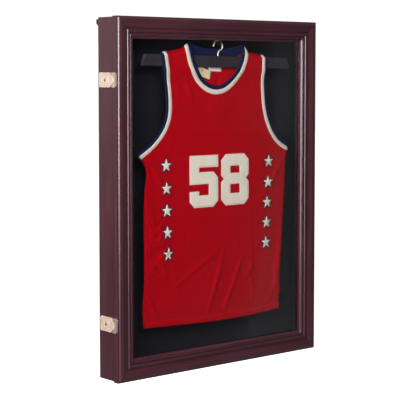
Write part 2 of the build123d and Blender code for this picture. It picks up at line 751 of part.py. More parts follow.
with BuildPart() as catch_screw_group:
    with Locations(*catch_screws):
        add(screw())
finish(catch_screw_group, "catch_screws")

# ---------------------------------------------------------------- hook and hanger bar

hook_plane = Plane(origin=(hung_x, hung_y, hung_z + bar_top), x_dir=RIGHT, z_dir=FORWARD)
with BuildPart() as hanger_hook:
    with BuildLine(hook_plane) as hook_line:
        stem = Line((0, -hook_socket), (0, hook_stem))
        sway = (hook_bow / 2, (hook_stem + hook_rise) / 2)
        lower = TangentArc(stem @ 1, sway, tangent=stem % 1)
        upper = TangentArc(lower @ 1, (hook_bow, hook_rise), tangent=lower % 1)
        CenterArc((0, hook_rise), hook_bow, 0, 180)
    with BuildSketch(Plane(origin=hook_line.line @ 0, z_dir=hook_line.line % 0)):
        Circle(hook_wire)
    sweep()
finish(hanger_hook, "hanger_hook")

with BuildPart() as hanger_bar:
    bar_plane = Plane(origin=hook_plane.origin, x_dir=RIGHT.rotate(Axis.Y, bar_tilt), z_dir=FORWARD)
    with BuildSketch(bar_plane) as bar_outline:
        with BuildLine():
            Polyline((-bar_length_top / 2, 0), (bar_length_top / 2, 0),
                     (bar_length_bottom / 2, -bar_height), (-bar_length_bottom / 2, -bar_height),
                     close=True)
        make_face()
        fillet(bar_outline.vertices(), bar_round)
    extrude(amount=bar_thickness / 2, both=True)
    long_edges = hanger_bar.edges().filter_by(lambda edge: edge.length > bar_length_top / 2)
    fillet(long_edges, bar_round)
    with Locations((hung_x, hung_y, hung_z + bar_top + bar_height / 2)):
        Cylinder(hook_wire + running_clearance, bar_height / 2 + hook_socket + hook_socket_end,
                 align=BELOW, mode=Mode.SUBTRACT)
finish(hanger_bar, "hanger_bar")

# ---------------------------------------------------------------- jersey


def jersey_outline(neck_low):
    """Half of the jersey laid flat: X across from the case's centre line, Y up from its middle."""
    with BuildSketch() as outline:
        with BuildLine():
            ThreePointArc(collar_left, (neck_middle, neck_low), collar_right)
            Line(collar_right, strap_right)
            ThreePointArc(strap_right, armhole_right, armpit_right)
            Polyline(armpit_right, waist_right, hem_right, hem_left, waist_left, armpit_left)
            ThreePointArc(armpit_left, armhole_left, strap_left)
            Line(strap_left, collar_left)
        make_face()
    return outline.sketch


def jersey_hollow():
    """The space inside: closed by the side and shoulder seams, open at the hem, arms and neck."""
    beyond = case_width / 2
    rise = shoulder_seam
    with BuildSketch() as hollow:
        with BuildLine():
            Polyline((hem_left[0] + seam, -beyond * 2), (hem_left[0] + seam, hem_left[1]),
                     (waist_left[0] + seam, waist_left[1]),
                     (armpit_left[0] + 2 * seam, armpit_left[1]), (-beyond, armpit_left[1] + seam),
                     (-beyond, strap_left[1] - rise), (strap_left[0], strap_left[1] - rise),
                     (collar_left[0], collar_left[1] - rise), (collar_left[0], beyond * 2),
                     (collar_right[0], beyond * 2), (collar_right[0], collar_right[1] - rise),
                     (strap_right[0], strap_right[1] - rise), (beyond, strap_right[1] - rise),
                     (beyond, armpit_right[1] + seam), (armpit_right[0] - 2 * seam, armpit_right[1]),
                     (waist_right[0] - seam, waist_right[1]), (hem_right[0] - seam, hem_right[1]),
                     (hem_right[0] - seam, -beyond * 2), close=True)
        make_face()
    return hollow.sketch


jersey_front = hung_y - jersey_depth / 2
for name, neck_low, face, hollow_face in (
        ("front", neck_bottom, jersey_front, jersey_front + cloth),
        ("back", neck_back, hung_y, hung_y)):
    with BuildPart() as jersey_half:
        with BuildSketch(Plane(origin=(0, face, hung_z), x_dir=RIGHT, z_dir=FORWARD)):
            add(jersey_outline(neck_low))
        extrude(amount=-jersey_depth / 2)
        with BuildSketch(Plane(origin=(0, hollow_face, hung_z), x_dir=RIGHT, z_dir=FORWARD)):
            add(jersey_hollow())
        extrude(amount=cloth - jersey_depth / 2, mode=Mode.SUBTRACT)
    finish(jersey_half, f"jersey_{name}")
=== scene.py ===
import math

import bpy
import numpy as np
from bpy.props import FloatProperty, FloatVectorProperty, PointerProperty
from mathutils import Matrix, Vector, noise
from mathutils.bvhtree import BVHTree
from mathutils.geometry import delaunay_2d_cdt, interpolate_bezier
from mathutils.interpolate import poly_3d_calc


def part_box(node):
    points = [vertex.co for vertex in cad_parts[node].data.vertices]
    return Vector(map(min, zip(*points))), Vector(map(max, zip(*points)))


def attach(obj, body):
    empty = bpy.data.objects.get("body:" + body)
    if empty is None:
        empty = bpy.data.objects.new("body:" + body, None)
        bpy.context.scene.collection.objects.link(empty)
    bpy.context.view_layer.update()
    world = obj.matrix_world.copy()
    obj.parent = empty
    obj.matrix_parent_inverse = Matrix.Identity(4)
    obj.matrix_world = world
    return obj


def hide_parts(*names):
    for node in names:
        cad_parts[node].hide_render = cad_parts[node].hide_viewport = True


bl_info = {
    "name": "Jersey Display Case",
    "version": (1, 0, 0),
    "blender": (4, 5, 0),
    "location": "3D View > Sidebar > Display Case",
    "description": "Finishes a wall-hung jersey display case, hangs its jersey and lights it",
    "category": "Add Mesh",
}

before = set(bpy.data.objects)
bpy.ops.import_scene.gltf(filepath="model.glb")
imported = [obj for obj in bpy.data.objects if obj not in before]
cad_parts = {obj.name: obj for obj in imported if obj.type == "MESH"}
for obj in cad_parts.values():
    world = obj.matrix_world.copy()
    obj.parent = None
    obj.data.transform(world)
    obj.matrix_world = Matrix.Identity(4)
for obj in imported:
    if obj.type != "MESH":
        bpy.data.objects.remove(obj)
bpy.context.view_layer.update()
MM = 0.001
WHITE = (1, 1, 1, 1)


def box_of(*nodes):
    """The lowest and highest corners of several CAD nodes together."""
    boxes = [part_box(node) for node in nodes]
    low = Vector(min(box[0][axis] for box in boxes) for axis in range(3))
    high = Vector(max(box[1][axis] for box in boxes) for axis in range(3))
    return low, high


DOOR_LOW, DOOR_HIGH = box_of("door_stile_left", "door_stile_right", "door_rail_top",
                             "door_rail_bottom")
CASE_LOW, CASE_HIGH = box_of("case_side_left", "case_side_right", "case_top", "case_bottom")
DOOR_MIDDLE = (DOOR_LOW + DOOR_HIGH) / 2
BAR_LOW, BAR_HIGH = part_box("hanger_bar")
PANE_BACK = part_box("pane")[1].y
JERSEY_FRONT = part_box("jersey_front")[0].y
JERSEY_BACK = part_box("jersey_back")[1].y
HUNG = (BAR_LOW.y + BAR_HIGH.y) / 2
PEG_X = (BAR_LOW.x + BAR_HIGH.x) / 2 / MM


# ------------------------------------------------------------------ sizes and colours


def colour(name, description, default):
    """A colour that a user would change."""
    return FloatVectorProperty(name=name, description=description, default=default, size=3,
                               min=0, max=1, subtype="COLOR")


def length(name, description, default):
    """A size in metres that a user would change."""
    return FloatProperty(name=name, description=description, default=default, min=0,
                         precision=4, unit="LENGTH", subtype="DISTANCE")


class CaseFinish(bpy.types.PropertyGroup):
    """Colours of the case, its door and its fittings."""

    mahogany: colour("Mahogany", "Stain of the case and the door", (0.050, 0.0100, 0.0165))
    mahogany_dark: colour("Dark grain", "Darkest of the grain and the pores", (0.019, 0.004, 0.007))
    mahogany_light: colour("Light grain", "Lightest of the grain", (0.068, 0.0155, 0.0245))
    felt: colour("Felt", "Lining behind the jersey and round the sides", (0.0072, 0.0076, 0.0122))
    hardboard: colour("Hardboard", "Back panel", (0.27, 0.15, 0.080))
    pale_brass: colour("Pale brass", "Box latches and their catches", (0.95, 0.74, 0.57))
    hinge_brass: colour("Hinge brass", "Butt hinges and their pins", (0.78, 0.55, 0.26))
    steel: colour("Zinc", "Screws, pins, nut and wall hangers", (0.52, 0.51, 0.50))
    wire: colour("Hook wire", "Plated wire of the hook", (0.88, 0.79, 0.60))
    bar: colour("Bar", "Moulded hanger bar", (0.029, 0.0225, 0.027))
    enamel: colour("Enamel", "Peg that the hook hangs on", (0.012, 0.012, 0.013))
    rubber: colour("Rubber", "Bumpers and buffers", (0.02, 0.02, 0.02))


class JerseyLook(bpy.types.PropertyGroup):
    """Sizes and colours of the jersey."""

    red: colour("Red", "Knitted body", (0.50, 0.0008, 0.0075))
    cream: colour("Cream", "Numerals, stars and the trims' inner stripe", (0.88, 0.81, 0.67))
    navy: colour("Navy", "Trims' edge stripe and the stars' borders", (0.0045, 0.0095, 0.058))
    label: colour("Label", "Woven label inside the neck", (0.86, 0.80, 0.78))
    tag: colour("Tag", "Card tag inside the neck", (0.80, 0.68, 0.40))
    mesh_size: length("Mesh size", "Spacing of the cloth's points", 0.0052)
    cloth: length("Cloth", "Thickness of the knit", 0.0009)
    navy_width: length("Navy stripe", "Width of the trims' edge stripe", 0.0084)
    cream_width: length("Cream stripe", "Width of the trims' inner stripe", 0.0108)
    numeral_width: length("Numeral width", "Width of one numeral", 0.0855)
    numeral_height: length("Numeral height", "Height of the numerals", 0.121)
    star: length("Star", "Radius of the cream stars", 0.0154)
    star_border: length("Star border", "Radius of the navy stars behind them", 0.0208)


class StudioSettings(bpy.types.PropertyGroup):
    """Camera, lights and floor."""

    lens: FloatProperty(name="Lens", description="Focal length in millimetres", default=118.17,
                        min=1)
    pitch: FloatProperty(name="Pitch", description="Camera's angle down",
                         default=math.radians(3.920), subtype="ANGLE", unit="ROTATION")
    yaw: FloatProperty(name="Yaw", description="Camera's angle to the right",
                       default=math.radians(39.896), subtype="ANGLE", unit="ROTATION")
    stand: FloatVectorProperty(name="Stand", default=(-2.0068, -2.3146, 0.2791), size=3,
                               description="Camera from the middle of the door's front",
                               subtype="TRANSLATION", unit="LENGTH")
    floor_drop: length("Floor drop", "Floor's distance below the case", 0.75)
    paper: colour("Paper", "Floor and surroundings", (0.93, 0.93, 0.93))


# ------------------------------------------------------------------ material recipes

WALE, COURSE, RIB = 1.25 * MM, 1.0 * MM, 1.7 * MM
QUIRKS = (25.3 * MM, 28.3 * MM, 36.2 * MM, 43.2 * MM)      # in from the door's outer edge
GRAIN_ACROSS, GRAIN_ALONG = 11, 0.6


class Recipe:
    """A material in the making, with a short call for each node that it uses."""

    def __init__(self, name):
        self.material = bpy.data.materials.new(name)
        self.material.use_nodes = True
        self.tree = self.material.node_tree
        self.shader = self.tree.nodes["Principled BSDF"]

    def feed(self, socket, value):
        """Link a socket, or set it."""
        if isinstance(value, bpy.types.NodeSocket):
            self.tree.links.new(value, socket)
        else:
            socket.default_value = value

    def add(self, kind, inputs=(), output=0, **settings):
        """Add a node and give back one of its outputs."""
        node = self.tree.nodes.new("ShaderNode" + kind)
        for name, value in settings.items():
            setattr(node, name, value)
        for socket, value in dict(inputs).items():
            self.feed(node.inputs[socket], value)
        return node.outputs[output]

    def math(self, operation, *values):
        """Arithmetic on sockets and numbers."""
        return self.add("Math", dict(enumerate(values)), operation=operation)

    def gap(self, first, second):
        """How far apart two values are."""
        return self.math("ABSOLUTE", self.math("SUBTRACT", first, second))

    def place(self, scale=(1, 1, 1)):
        """The piece's own coordinates in metres, scaled."""
        here = self.add("TexCoord", output="Object")
        return self.add("Mapping", {"Vector": here, "Scale": scale})

    def noise(self, vector, scale, detail=4.0, roughness=0.55, distortion=0.0):
        """Soft random patches from 0 to 1."""
        return self.add("TexNoise", {"Vector": vector, "Scale": scale, "Detail": detail,
                                     "Roughness": roughness, "Distortion": distortion})

    def waves(self, vector, pitch, direction, distortion):
        """Parallel ridges, one for each pitch in metres."""
        return self.add("TexWave", {"Vector": vector, "Scale": math.pi / (10 * pitch),
                                    "Distortion": distortion, "Detail": 1.0},
                        output="Fac", bands_direction=direction)

    def between(self, value, start, end, low=0.0, high=1.0):
        """Low before the start, high after the end, and smooth between them."""
        return self.add("MapRange", {"Value": value, "From Min": start, "From Max": end,
                                     "To Min": low, "To Max": high},
                        interpolation_type="SMOOTHSTEP")

    def blend(self, share, first, second):
        """A mix of two colours."""
        return self.add("Mix", {0: share, 6: first, 7: second}, output=2, data_type="RGBA")

    def finish(self, **sockets):
        """Set the shader's sockets by name, and give back the material."""
        for name, value in sockets.items():
            self.feed(self.shader.inputs[name.replace("_", " ")], value)
        return self.material

    def bump(self, height, distance, strength=1.0):
        """A surface normal from a height."""
        return self.add("Bump", {"Height": height, "Distance": distance, "Strength": strength})


def rgba(colour_value, shade=1.0):
    """A property's colour with its alpha, made lighter or darker."""
    return (*(min(1.0, part * shade) for part in colour_value), 1.0)


def mahogany(name, upright, low, high, quirks=()):
    """Stained and lacquered mahogany, its grain along the piece, with dark lines at the mitres and
    painted shade in the quirks.

    Low and high are the corners of the mitred rectangle, and quirks are distances in from its
    edge. Painted shade darkens the gap between the case and the door too."""
    look = bpy.context.scene.case_finish
    wood = Recipe(name)
    spread = (GRAIN_ACROSS, GRAIN_ACROSS, GRAIN_ALONG)
    spread = spread if upright else spread[::-1]
    along = wood.place(spread)
    figure = wood.noise(along, 7.0, 5.0, 0.6, 0.7)
    pores = wood.noise(along, 85.0, 2.0, 0.5)
    patches = wood.noise(wood.place(), 5.0, 2.0)
    tint = wood.blend(wood.between(figure, 0.36, 0.68), rgba(look.mahogany),
                      rgba(look.mahogany_light))
    tint = wood.blend(wood.between(pores, 0.36, 0.27, 0.0, 0.75), tint, rgba(look.mahogany_dark))
    tint = wood.blend(wood.between(patches, 0.35, 0.7, 0.0, 0.35), tint, rgba(look.mahogany, 0.75))

    spot = wood.add("SeparateXYZ", {0: wood.place()}).node
    middle, half = (low + high) / 2, (high - low) / 2
    aside = wood.math("SUBTRACT", half.x, wood.gap(spot.outputs["X"], middle.x))
    above = wood.math("SUBTRACT", half.z, wood.gap(spot.outputs["Z"], middle.z))
    line = wood.between(wood.gap(aside, above), 0.2 * MM, 0.75 * MM, 0.9, 0.0)
    # painted shade: each quirk groove is darkened as if in shadow
    for quirk in quirks:
        away = wood.gap(aside if upright else above, quirk)
        line = wood.math("MAXIMUM", line, wood.between(away, 0.25 * MM, 0.95 * MM, 0.72, 0.0))
    # painted shadow: the gap between the case and the door is darkened
    seam = wood.gap(spot.outputs["Y"], (CASE_LOW.y + DOOR_HIGH.y) / 2)
    line = wood.math("MAXIMUM", line, wood.between(seam, 0.9 * MM, 2.0 * MM, 0.9, 0.0))
    # the lines darken the tint: dark mitre joints, plus painted shade in the quirks and the door's
    # gap
    tint = wood.blend(line, tint, rgba(look.mahogany_dark, 0.35))
    height = wood.math("SUBTRACT", wood.math("MULTIPLY", wood.between(pores, 0.27, 0.4), 0.25),
                       wood.math("MULTIPLY", line, 0.6))
    return wood.finish(Base_Color=tint, Roughness=wood.between(figure, 0.2, 0.8, 0.27, 0.38),
                       Coat_Weight=0.75, Coat_Roughness=0.33, IOR=1.5,
                       Normal=wood.bump(height, 0.12 * MM, 0.5))


def felt():
    """Black pressed felt with a fuzzy, slightly mottled face."""
    look = bpy.context.scene.case_finish
    cloth = Recipe("Black felt")
    fibres = cloth.noise(cloth.place(), 900.0, 4.0, 0.7)
    mottle = cloth.noise(cloth.place(), 18.0, 3.0)
    tint = cloth.blend(cloth.between(fibres, 0.35, 0.7), rgba(look.felt, 0.7), rgba(look.felt, 1.5))
    tint = cloth.blend(cloth.between(mottle, 0.4, 0.7, 0.0, 0.4), tint, rgba(look.felt, 1.35))
    return cloth.finish(Base_Color=tint, Roughness=0.95, Sheen_Weight=0.05, Sheen_Roughness=0.5,
                        Specular_IOR_Level=0.12, Normal=cloth.bump(fibres, 0.08 * MM, 0.4))


def hardboard():
    """Brown hardboard: pressed fibres, rough and mottled."""
    look = bpy.context.scene.case_finish
    board = Recipe("Brown hardboard")
    fibres = board.noise(board.place(), 420.0, 5.0, 0.7, 0.4)
    mottle = board.noise(board.place(), 30.0, 3.0)
    tint = board.blend(board.between(fibres, 0.35, 0.68), rgba(look.hardboard, 0.7),
                       rgba(look.hardboard, 1.4))
    tint = board.blend(board.between(mottle, 0.35, 0.7, 0.0, 0.4), tint, rgba(look.hardboard, 0.85))
    return board.finish(Base_Color=tint, Roughness=board.between(fibres, 0.2, 0.8, 0.62, 0.82),
                        Normal=board.bump(fibres, 0.2 * MM, 0.6))


def plated(name, tint, smooth, rough, metallic=1.0):
    """Plated or polished metal, faintly brushed and worn unevenly."""
    metal = Recipe(name)
    brushed = metal.noise(metal.place((60, 60, 900)), 1.0, 2.0)
    worn = metal.noise(metal.place(), 90.0, 2.0)
    shade = metal.blend(metal.between(worn, 0.35, 0.7), rgba(tint, 0.86), rgba(tint, 1.05))
    shade = metal.blend(metal.between(brushed, 0.4, 0.7, 0.0, 0.35), shade, rgba(tint, 0.93))
    height = metal.math("MULTIPLY", brushed, 0.25)
    return metal.finish(Base_Color=shade, Metallic=metallic,
                        Roughness=metal.between(worn, 0.3, 0.75, smooth, rough),
                        Normal=metal.bump(height, 0.003 * MM, 0.2))


def moulded(name, tint, smooth, rough, grain):
    """Moulded plastic, rubber or enamel with a fine grain."""
    stuff = Recipe(name)
    fine = stuff.noise(stuff.place(), grain, 3.0)
    broad = stuff.noise(stuff.place(), 24.0, 2.0)
    shade = stuff.blend(stuff.between(broad, 0.35, 0.7), rgba(tint, 0.88), rgba(tint, 1.15))
    return stuff.finish(Base_Color=shade, Roughness=stuff.between(fine, 0.3, 0.7, smooth, rough),
                        Normal=stuff.bump(fine, 0.05 * MM, 0.4))


def clear_acrylic():
    """A clear pane: what is behind it shows through, with a weak reflection over it."""
    pane = Recipe("Clear acrylic")
    haze = pane.noise(pane.place((1, 1, 0.4)), 14.0, 3.0)
    through = pane.add("BsdfTransparent", {"Color": (0.97, 0.975, 0.975, 1)})
    gloss = pane.add("BsdfGlossy", {"Color": WHITE,
                                    "Roughness": pane.between(haze, 0.3, 0.75, 0.02, 0.07)})
    share = pane.math("MULTIPLY", pane.add("Fresnel", {"IOR": 1.46}), 0.22)
    mixed = pane.add("MixShader", {0: share, 1: through, 2: gloss})
    output = next(node for node in pane.tree.nodes if node.type == "OUTPUT_MATERIAL")
    pane.feed(output.inputs["Surface"], mixed)
    pane.tree.nodes.remove(pane.shader)
    return pane.material


def knit(name, tint):
    """Polyester jersey knit: upright wales crossed by courses, with painted shade: lighter on the
    ridges, darker in the hollows.
    """
    cloth = Recipe(name)
    wales = cloth.waves(cloth.place(), WALE, "X", 0.3)
    courses = cloth.waves(cloth.place(), COURSE, "Z", 0.3)
    crossed = cloth.math("ADD", 0.45, cloth.math("MULTIPLY", courses, 0.55))
    loops = cloth.math("MULTIPLY", wales, crossed)
    washed = cloth.noise(cloth.place(), 16.0, 3.0)
    # painted shade: the knit's hollows are darker and its ridges lighter
    shade = cloth.blend(loops, rgba(tint, 0.80), rgba(tint, 1.10))
    shade = cloth.blend(cloth.between(washed, 0.35, 0.7, 0.0, 0.30), shade, rgba(tint, 0.84))
    return cloth.finish(Base_Color=shade, Roughness=cloth.between(loops, 0.0, 1.0, 0.50, 0.36),
                        Specular_IOR_Level=0.5, Specular_Tint=rgba(tint, 1.9),
                        Normal=cloth.bump(loops, 0.18 * MM, 0.6))


def ribbing(name, tint):
    """Ribbed trim whose ribs run across it. It reads the trim's own length and width."""
    cloth = Recipe(name)
    laid = cloth.add("UVMap", uv_map="trim")
    ribs = cloth.waves(laid, RIB, "X", 0.25)
    fluff = cloth.noise(cloth.place(), 420.0, 3.0)
    # painted shade: the hollows between the ribs are darker, the ribs lighter
    shade = cloth.blend(ribs, rgba(tint, 0.72), rgba(tint, 1.08))
    shade = cloth.blend(cloth.between(fluff, 0.4, 0.75, 0.0, 0.3), shade, rgba(tint, 0.86))
    return cloth.finish(Base_Color=shade, Roughness=cloth.between(fluff, 0.3, 0.7, 0.82, 0.92),
                        Specular_IOR_Level=0.2, Normal=cloth.bump(ribs, 0.35 * MM, 0.7))


def twill(name, tint):
    """Sewn-on twill: a fine diagonal weave with faint soiling and painted crease shade."""
    cloth = Recipe(name)
    weave = cloth.add("TexWave", {"Vector": cloth.place(), "Scale": 330.0, "Distortion": 0.4},
                      output="Fac", bands_direction="DIAGONAL")
    # soft darker, yellower patches: faint soiling, and painted shade of creases
    soil_and_crease_shade = cloth.noise(cloth.place(), 38.0, 4.0, 0.6)
    shade = cloth.blend(weave, rgba(tint, 0.90), rgba(tint, 1.06))
    shade = cloth.blend(cloth.between(soil_and_crease_shade, 0.42, 0.75, 0.0, 0.42), shade,
                        (tint[0] * 0.82, tint[1] * 0.76, tint[2] * 0.66, 1))
    return cloth.finish(Base_Color=shade, Roughness=cloth.between(weave, 0.0, 1.0, 0.72, 0.6),
                        Specular_IOR_Level=0.3, Normal=cloth.bump(weave, 0.10 * MM, 0.5))


def thread(name, tint):
    """Twisted sewing thread."""
    yarn = Recipe(name)
    twist = yarn.noise(yarn.place(), 1500.0, 2.0)
    shade = yarn.blend(yarn.between(twist, 0.35, 0.65), rgba(tint, 0.72), rgba(tint, 1.12))
    return yarn.finish(Base_Color=shade, Roughness=yarn.between(twist, 0.3, 0.7, 0.55, 0.75),
                       Normal=yarn.bump(twist, 0.1 * MM, 0.5))


def dress(nodes, material):
    """Give CAD nodes a material."""
    for name in nodes:
        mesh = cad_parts[name].data
        mesh.materials.clear()
        mesh.materials.append(material)


def named(*starts):
    """The CAD nodes whose names start so."""
    return [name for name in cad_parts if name.startswith(starts)]


# ------------------------------------------------------------------ the jersey's cut

NECK_LEFT, NECK_RIGHT = (-77, 354), (85, 350.5)
NECK_FRONT, NECK_BACK = (3.5, 253), (3.5, 341.5)
SHOULDER_LEFT, SHOULDER_RIGHT = (-163, 328), (160, 322.5)
ARM_LEFT, ARM_RIGHT = (-145, 207), (160.5, 235)
ARMPIT_LEFT, ARMPIT_RIGHT = (-228, 99), (236, 106)
SHOULDER_SEAM_LEFT = [NECK_LEFT, (-102, 338), (-132, 332.5), SHOULDER_LEFT]
SHOULDER_SEAM_RIGHT = [NECK_RIGHT, (105, 331.5), (132, 327.5), SHOULDER_RIGHT]
SIDE_SEAM_LEFT = [ARMPIT_LEFT, (-219, 88), (-206, 67), (-204, 50), (-208, 21), (-211, -10),
                  (-212, -59), (-211, -130), (-211, -194), (-215, -240)]
SIDE_SEAM_RIGHT = [ARMPIT_RIGHT, (235, 95), (230, 63), (228, 10), (225, -37), (219, -117),
                   (213, -197), (211, -237), (214, -252)]
HEM = [SIDE_SEAM_LEFT[-1], (-213, -268), (-211, -297), (-115, -298.5), (0, -302.5), (103, -302),
       (205, -298), (207, -267), SIDE_SEAM_RIGHT[-1]]
HEM_FOOT = HEM[2:7]
SEAMS = (SIDE_SEAM_LEFT, SIDE_SEAM_RIGHT, SHOULDER_SEAM_LEFT, SHOULDER_SEAM_RIGHT)
BACK_CUT_IN = 8                # the back's left armhole is cut this much closer
CURVE_POINTS = 24
ON_SEAM = 0.01                 # a point this near a seam is sewn
SLIVER = 0.01                  # triangles with less than half this area are left out
EDGE_MARGIN = 0.55             # points keep this share of a step from the edges


def bow(start, pull_start, pull_end, end):
    """Points along a smooth curve between two points."""
    ends = [Vector((x, 0, z)) for x, z in (start, pull_start, pull_end, end)]
    return [(point.x, point.z) for point in interpolate_bezier(*ends, CURVE_POINTS)]


def neckline(side):
    """The neck's open edge, from the left shoulder to the right."""
    if side == "front":
        return (bow(NECK_LEFT, (-74, 292), (-32, 253), NECK_FRONT)[:-1]
                + bow(NECK_FRONT, (40, 253), (80, 292), NECK_RIGHT))
    return (bow(NECK_LEFT, (-62, 345), (-32, 341.5), NECK_BACK)[:-1]
            + bow(NECK_BACK, (42, 341.5), (70, 343), NECK_RIGHT))


def arm_edge(hand, side):
    """An armhole's open edge, from the shoulder down to the armpit."""
    if hand == "left":
        deeper = 0 if side == "front" else BACK_CUT_IN
        middle = (ARM_LEFT[0] + deeper, ARM_LEFT[1])
        return (bow(SHOULDER_LEFT, (-157 + deeper, 287), (-145 + deeper, 250), middle)[:-1]
                + bow(middle, (-145 + deeper, 152), (-185, 132 - deeper), ARMPIT_LEFT))
    return (bow(SHOULDER_RIGHT, (159, 292), (158, 262), ARM_RIGHT)[:-1]
            + bow(ARM_RIGHT, (164, 180), (186, 128), ARMPIT_RIGHT))


def evenly(line, step):
    """The same line with points an even step apart, its ends kept."""
    line = np.array(line, float)
    runs = np.linalg.norm(np.diff(line, axis=0), axis=1)
    reach = np.concatenate(([0], np.cumsum(runs)))
    count = max(2, round(reach[-1] / step) + 1)
    places = np.linspace(0, reach[-1], count)
    return np.stack([np.interp(places, reach, part) for part in line.T], axis=1)


def outline(side, step):
    """A panel's closed outline, anticlockwise from the left end of the hem."""
    parts = [HEM, SIDE_SEAM_RIGHT[::-1], arm_edge("right", side)[::-1],
             SHOULDER_SEAM_RIGHT[::-1], neckline(side)[::-1], SHOULDER_SEAM_LEFT,
             arm_edge("left", side), SIDE_SEAM_LEFT]
    return np.concatenate([evenly(part, step)[:-1] for part in parts])


def away_from(points, line):
    """Each point's distance from a line of points."""
    start, end = np.array(line[:-1], float), np.array(line[1:], float)
    run = end - start
    size = np.maximum((run ** 2).sum(1), 1e-9)
    reach = points[:, None, :] - start[None]
    share = np.clip((reach * run[None]).sum(2) / size[None], 0, 1)
    return np.linalg.norm(reach - share[..., None] * run[None], axis=2).min(1)


def from_seams(points):
    """Each point's distance from the nearest shoulder or side seam."""
    return np.minimum.reduce([away_from(points, line) for line in SEAMS])


def inside(points, loop):
    """Whether each point lies inside a closed loop."""
    x, z = points[:, 0:1], points[:, 1:2]
    start, end = loop, np.roll(loop, -1, axis=0)
    crosses = (start[:, 1] > z) != (end[:, 1] > z)
    rise = np.where(end[:, 1] == start[:, 1], 1e-12, end[:, 1] - start[:, 1])
    at = start[:, 0] + (z - start[:, 1]) * (end[:, 0] - start[:, 0]) / rise
    return (crosses & (x < at)).sum(1) % 2 == 1


def filled(points, loops):
    """Whether each point lies inside the first loop and outside the others."""
    return inside(points, loops[0]) & ~np.any([inside(points, loop) for loop in loops[1:]], axis=0)


def fill(loops, step):
    """Points and triangles that fill the first loop and leave the others open."""
    low, high = loops[0].min(0), loops[0].max(0)
    rows = np.arange(low[1] + step / 2, high[1], step * math.sqrt(3) / 2)
    lattice = np.array([(x + (row % 2) * step / 2, z) for row, z in enumerate(rows)
                        for x in np.arange(low[0] + step / 3, high[0], step)]).reshape(-1, 2)
    kept = filled(lattice, loops)
    for loop in loops:
        kept &= away_from(lattice, np.concatenate([loop, loop[:1]])) > step * EDGE_MARGIN
    corners, edges = [], []
    for loop in loops:
        first = len(corners)
        corners += [tuple(point) for point in loop]
        edges += [(first + i, first + (i + 1) % len(loop)) for i in range(len(loop))]
    corners += [tuple(point) for point in lattice[kept]]
    made = delaunay_2d_cdt([Vector(point) for point in corners], edges, [], 0, 1e-6)
    points = np.array([tuple(point) for point in made[0]])
    middles = np.array([points[list(face)].mean(0) for face in made[2]])
    sides = np.array([(points[b] - points[a], points[c] - points[a]) for a, b, c in made[2]])
    spread = np.abs(sides[:, 0, 0] * sides[:, 1, 1] - sides[:, 0, 1] * sides[:, 1, 0])
    good = filled(middles, loops) & (spread > SLIVER)
    return points, [tuple(face) for face, keep in zip(made[2], good) if keep]


FOLD_WIDTH, FOLD_RISE = 0.52, 1.45       # shares of the widths and rises given below


class Fold:
    """A soft ridge in the cloth from one point to another. A negative rise is a hollow.

    Sharp is the width of its lee side as a share of the other side's."""

    def __init__(self, start, end, width, rise, sharp=1.0):
        self.start, self.end = np.array(start, float), np.array(end, float)
        self.width, self.rise, self.sharp = width * FOLD_WIDTH, rise * FOLD_RISE, sharp

    def height(self, points):
        """How far the ridge lifts each point."""
        run = self.end - self.start
        size = np.linalg.norm(run)
        ahead = run / size
        reach = points - self.start
        share = reach @ ahead / size
        across = reach @ np.array((ahead[1], -ahead[0]))
        width = self.width * np.where(across > 0, 1.0, self.sharp)
        ends = np.clip((share + 0.25) / 0.5, 0, 1) * np.clip((1.25 - share) / 0.5, 0, 1)
        return self.rise * ends ** 1.5 * np.exp(-(across / width) ** 2)


FRONT_FOLDS = [
    # left flank, rising from the side seam towards the stars
    Fold((-214, -182), (-128, -106), 9, 3.6, 0.7), Fold((-212, -108), (-122, -24), 10, 3.0, 0.7),
    Fold((-214, -140), (-150, -72), 8, 2.4, 0.7), Fold((-208, -60), (-150, 22), 10, 2.6, 0.7),
    Fold((-212, -150), (-160, -112), 10, -2.6), Fold((-205, 10), (-186, 78), 13, -3.6),
    Fold((-205, -262), (-172, -212), 9, 3.0, 0.6), Fold((-205, -228), (-190, -196), 8, -2.0),
    # one long fold across the belly
    Fold((-150, -222), (0, -136), 8, 2.8, 0.6), Fold((-130, -226), (-10, -158), 12, -2.0),
    # upright drapes above the hem
    Fold((-22, -272), (18, -156), 7, 4.4, 0.6), Fold((4, -268), (34, -180), 8, -2.8),
    Fold((27, -270), (84, -156), 7.5, 4.6, 0.6), Fold((52, -262), (98, -168), 8, -2.6),
    Fold((96, -214), (117, -168), 7, 4.2, 0.6), Fold((-24, -208), (-14, -178), 6, 2.0),
    Fold((205, -248), (176, -152), 8, 3.6, 0.6), Fold((192, -238), (164, -140), 9, -2.6),
    Fold((118, -270), (116, -220), 6, 3.0, 0.5), Fold((60, -150), (74, -90), 12, 1.4),
    # pressed creases down both sides of the front
    Fold((-115, -280), (-118, -80), 8, 2.0, 0.5), Fold((114, -280), (110, 10), 8, 2.2, 0.5),
    Fold((-108, -114), (-92, -84), 7, 2.2, 0.7), Fold((-82, -112), (-68, -84), 7, 2.0, 0.7),
    # straps, from the collar down towards the arms
    Fold((-104, 300), (-66, 210), 10, 3.0, 0.7), Fold((-124, 300), (-104, 196), 8, 2.6, 0.7),
    Fold((-128, 160), (-116, 232), 10, 2.2, 0.7), Fold((-146, 88), (-122, 160), 10, 2.8, 0.7),
    Fold((-188, 40), (-150, 110), 12, 2.2), Fold((-172, 86), (-140, 60), 12, -2.2),
    Fold((112, 286), (150, 178), 9, 2.6, 0.7), Fold((134, 304), (148, 248), 7, 2.0),
    Fold((206, 30), (190, 92), 10, 2.6), Fold((222, -20), (204, 60), 9, -2.0),
    Fold((-40, 190), (70, 214), 26, 1.2), Fold((-60, 130), (60, 120), 26, -1.2),
]
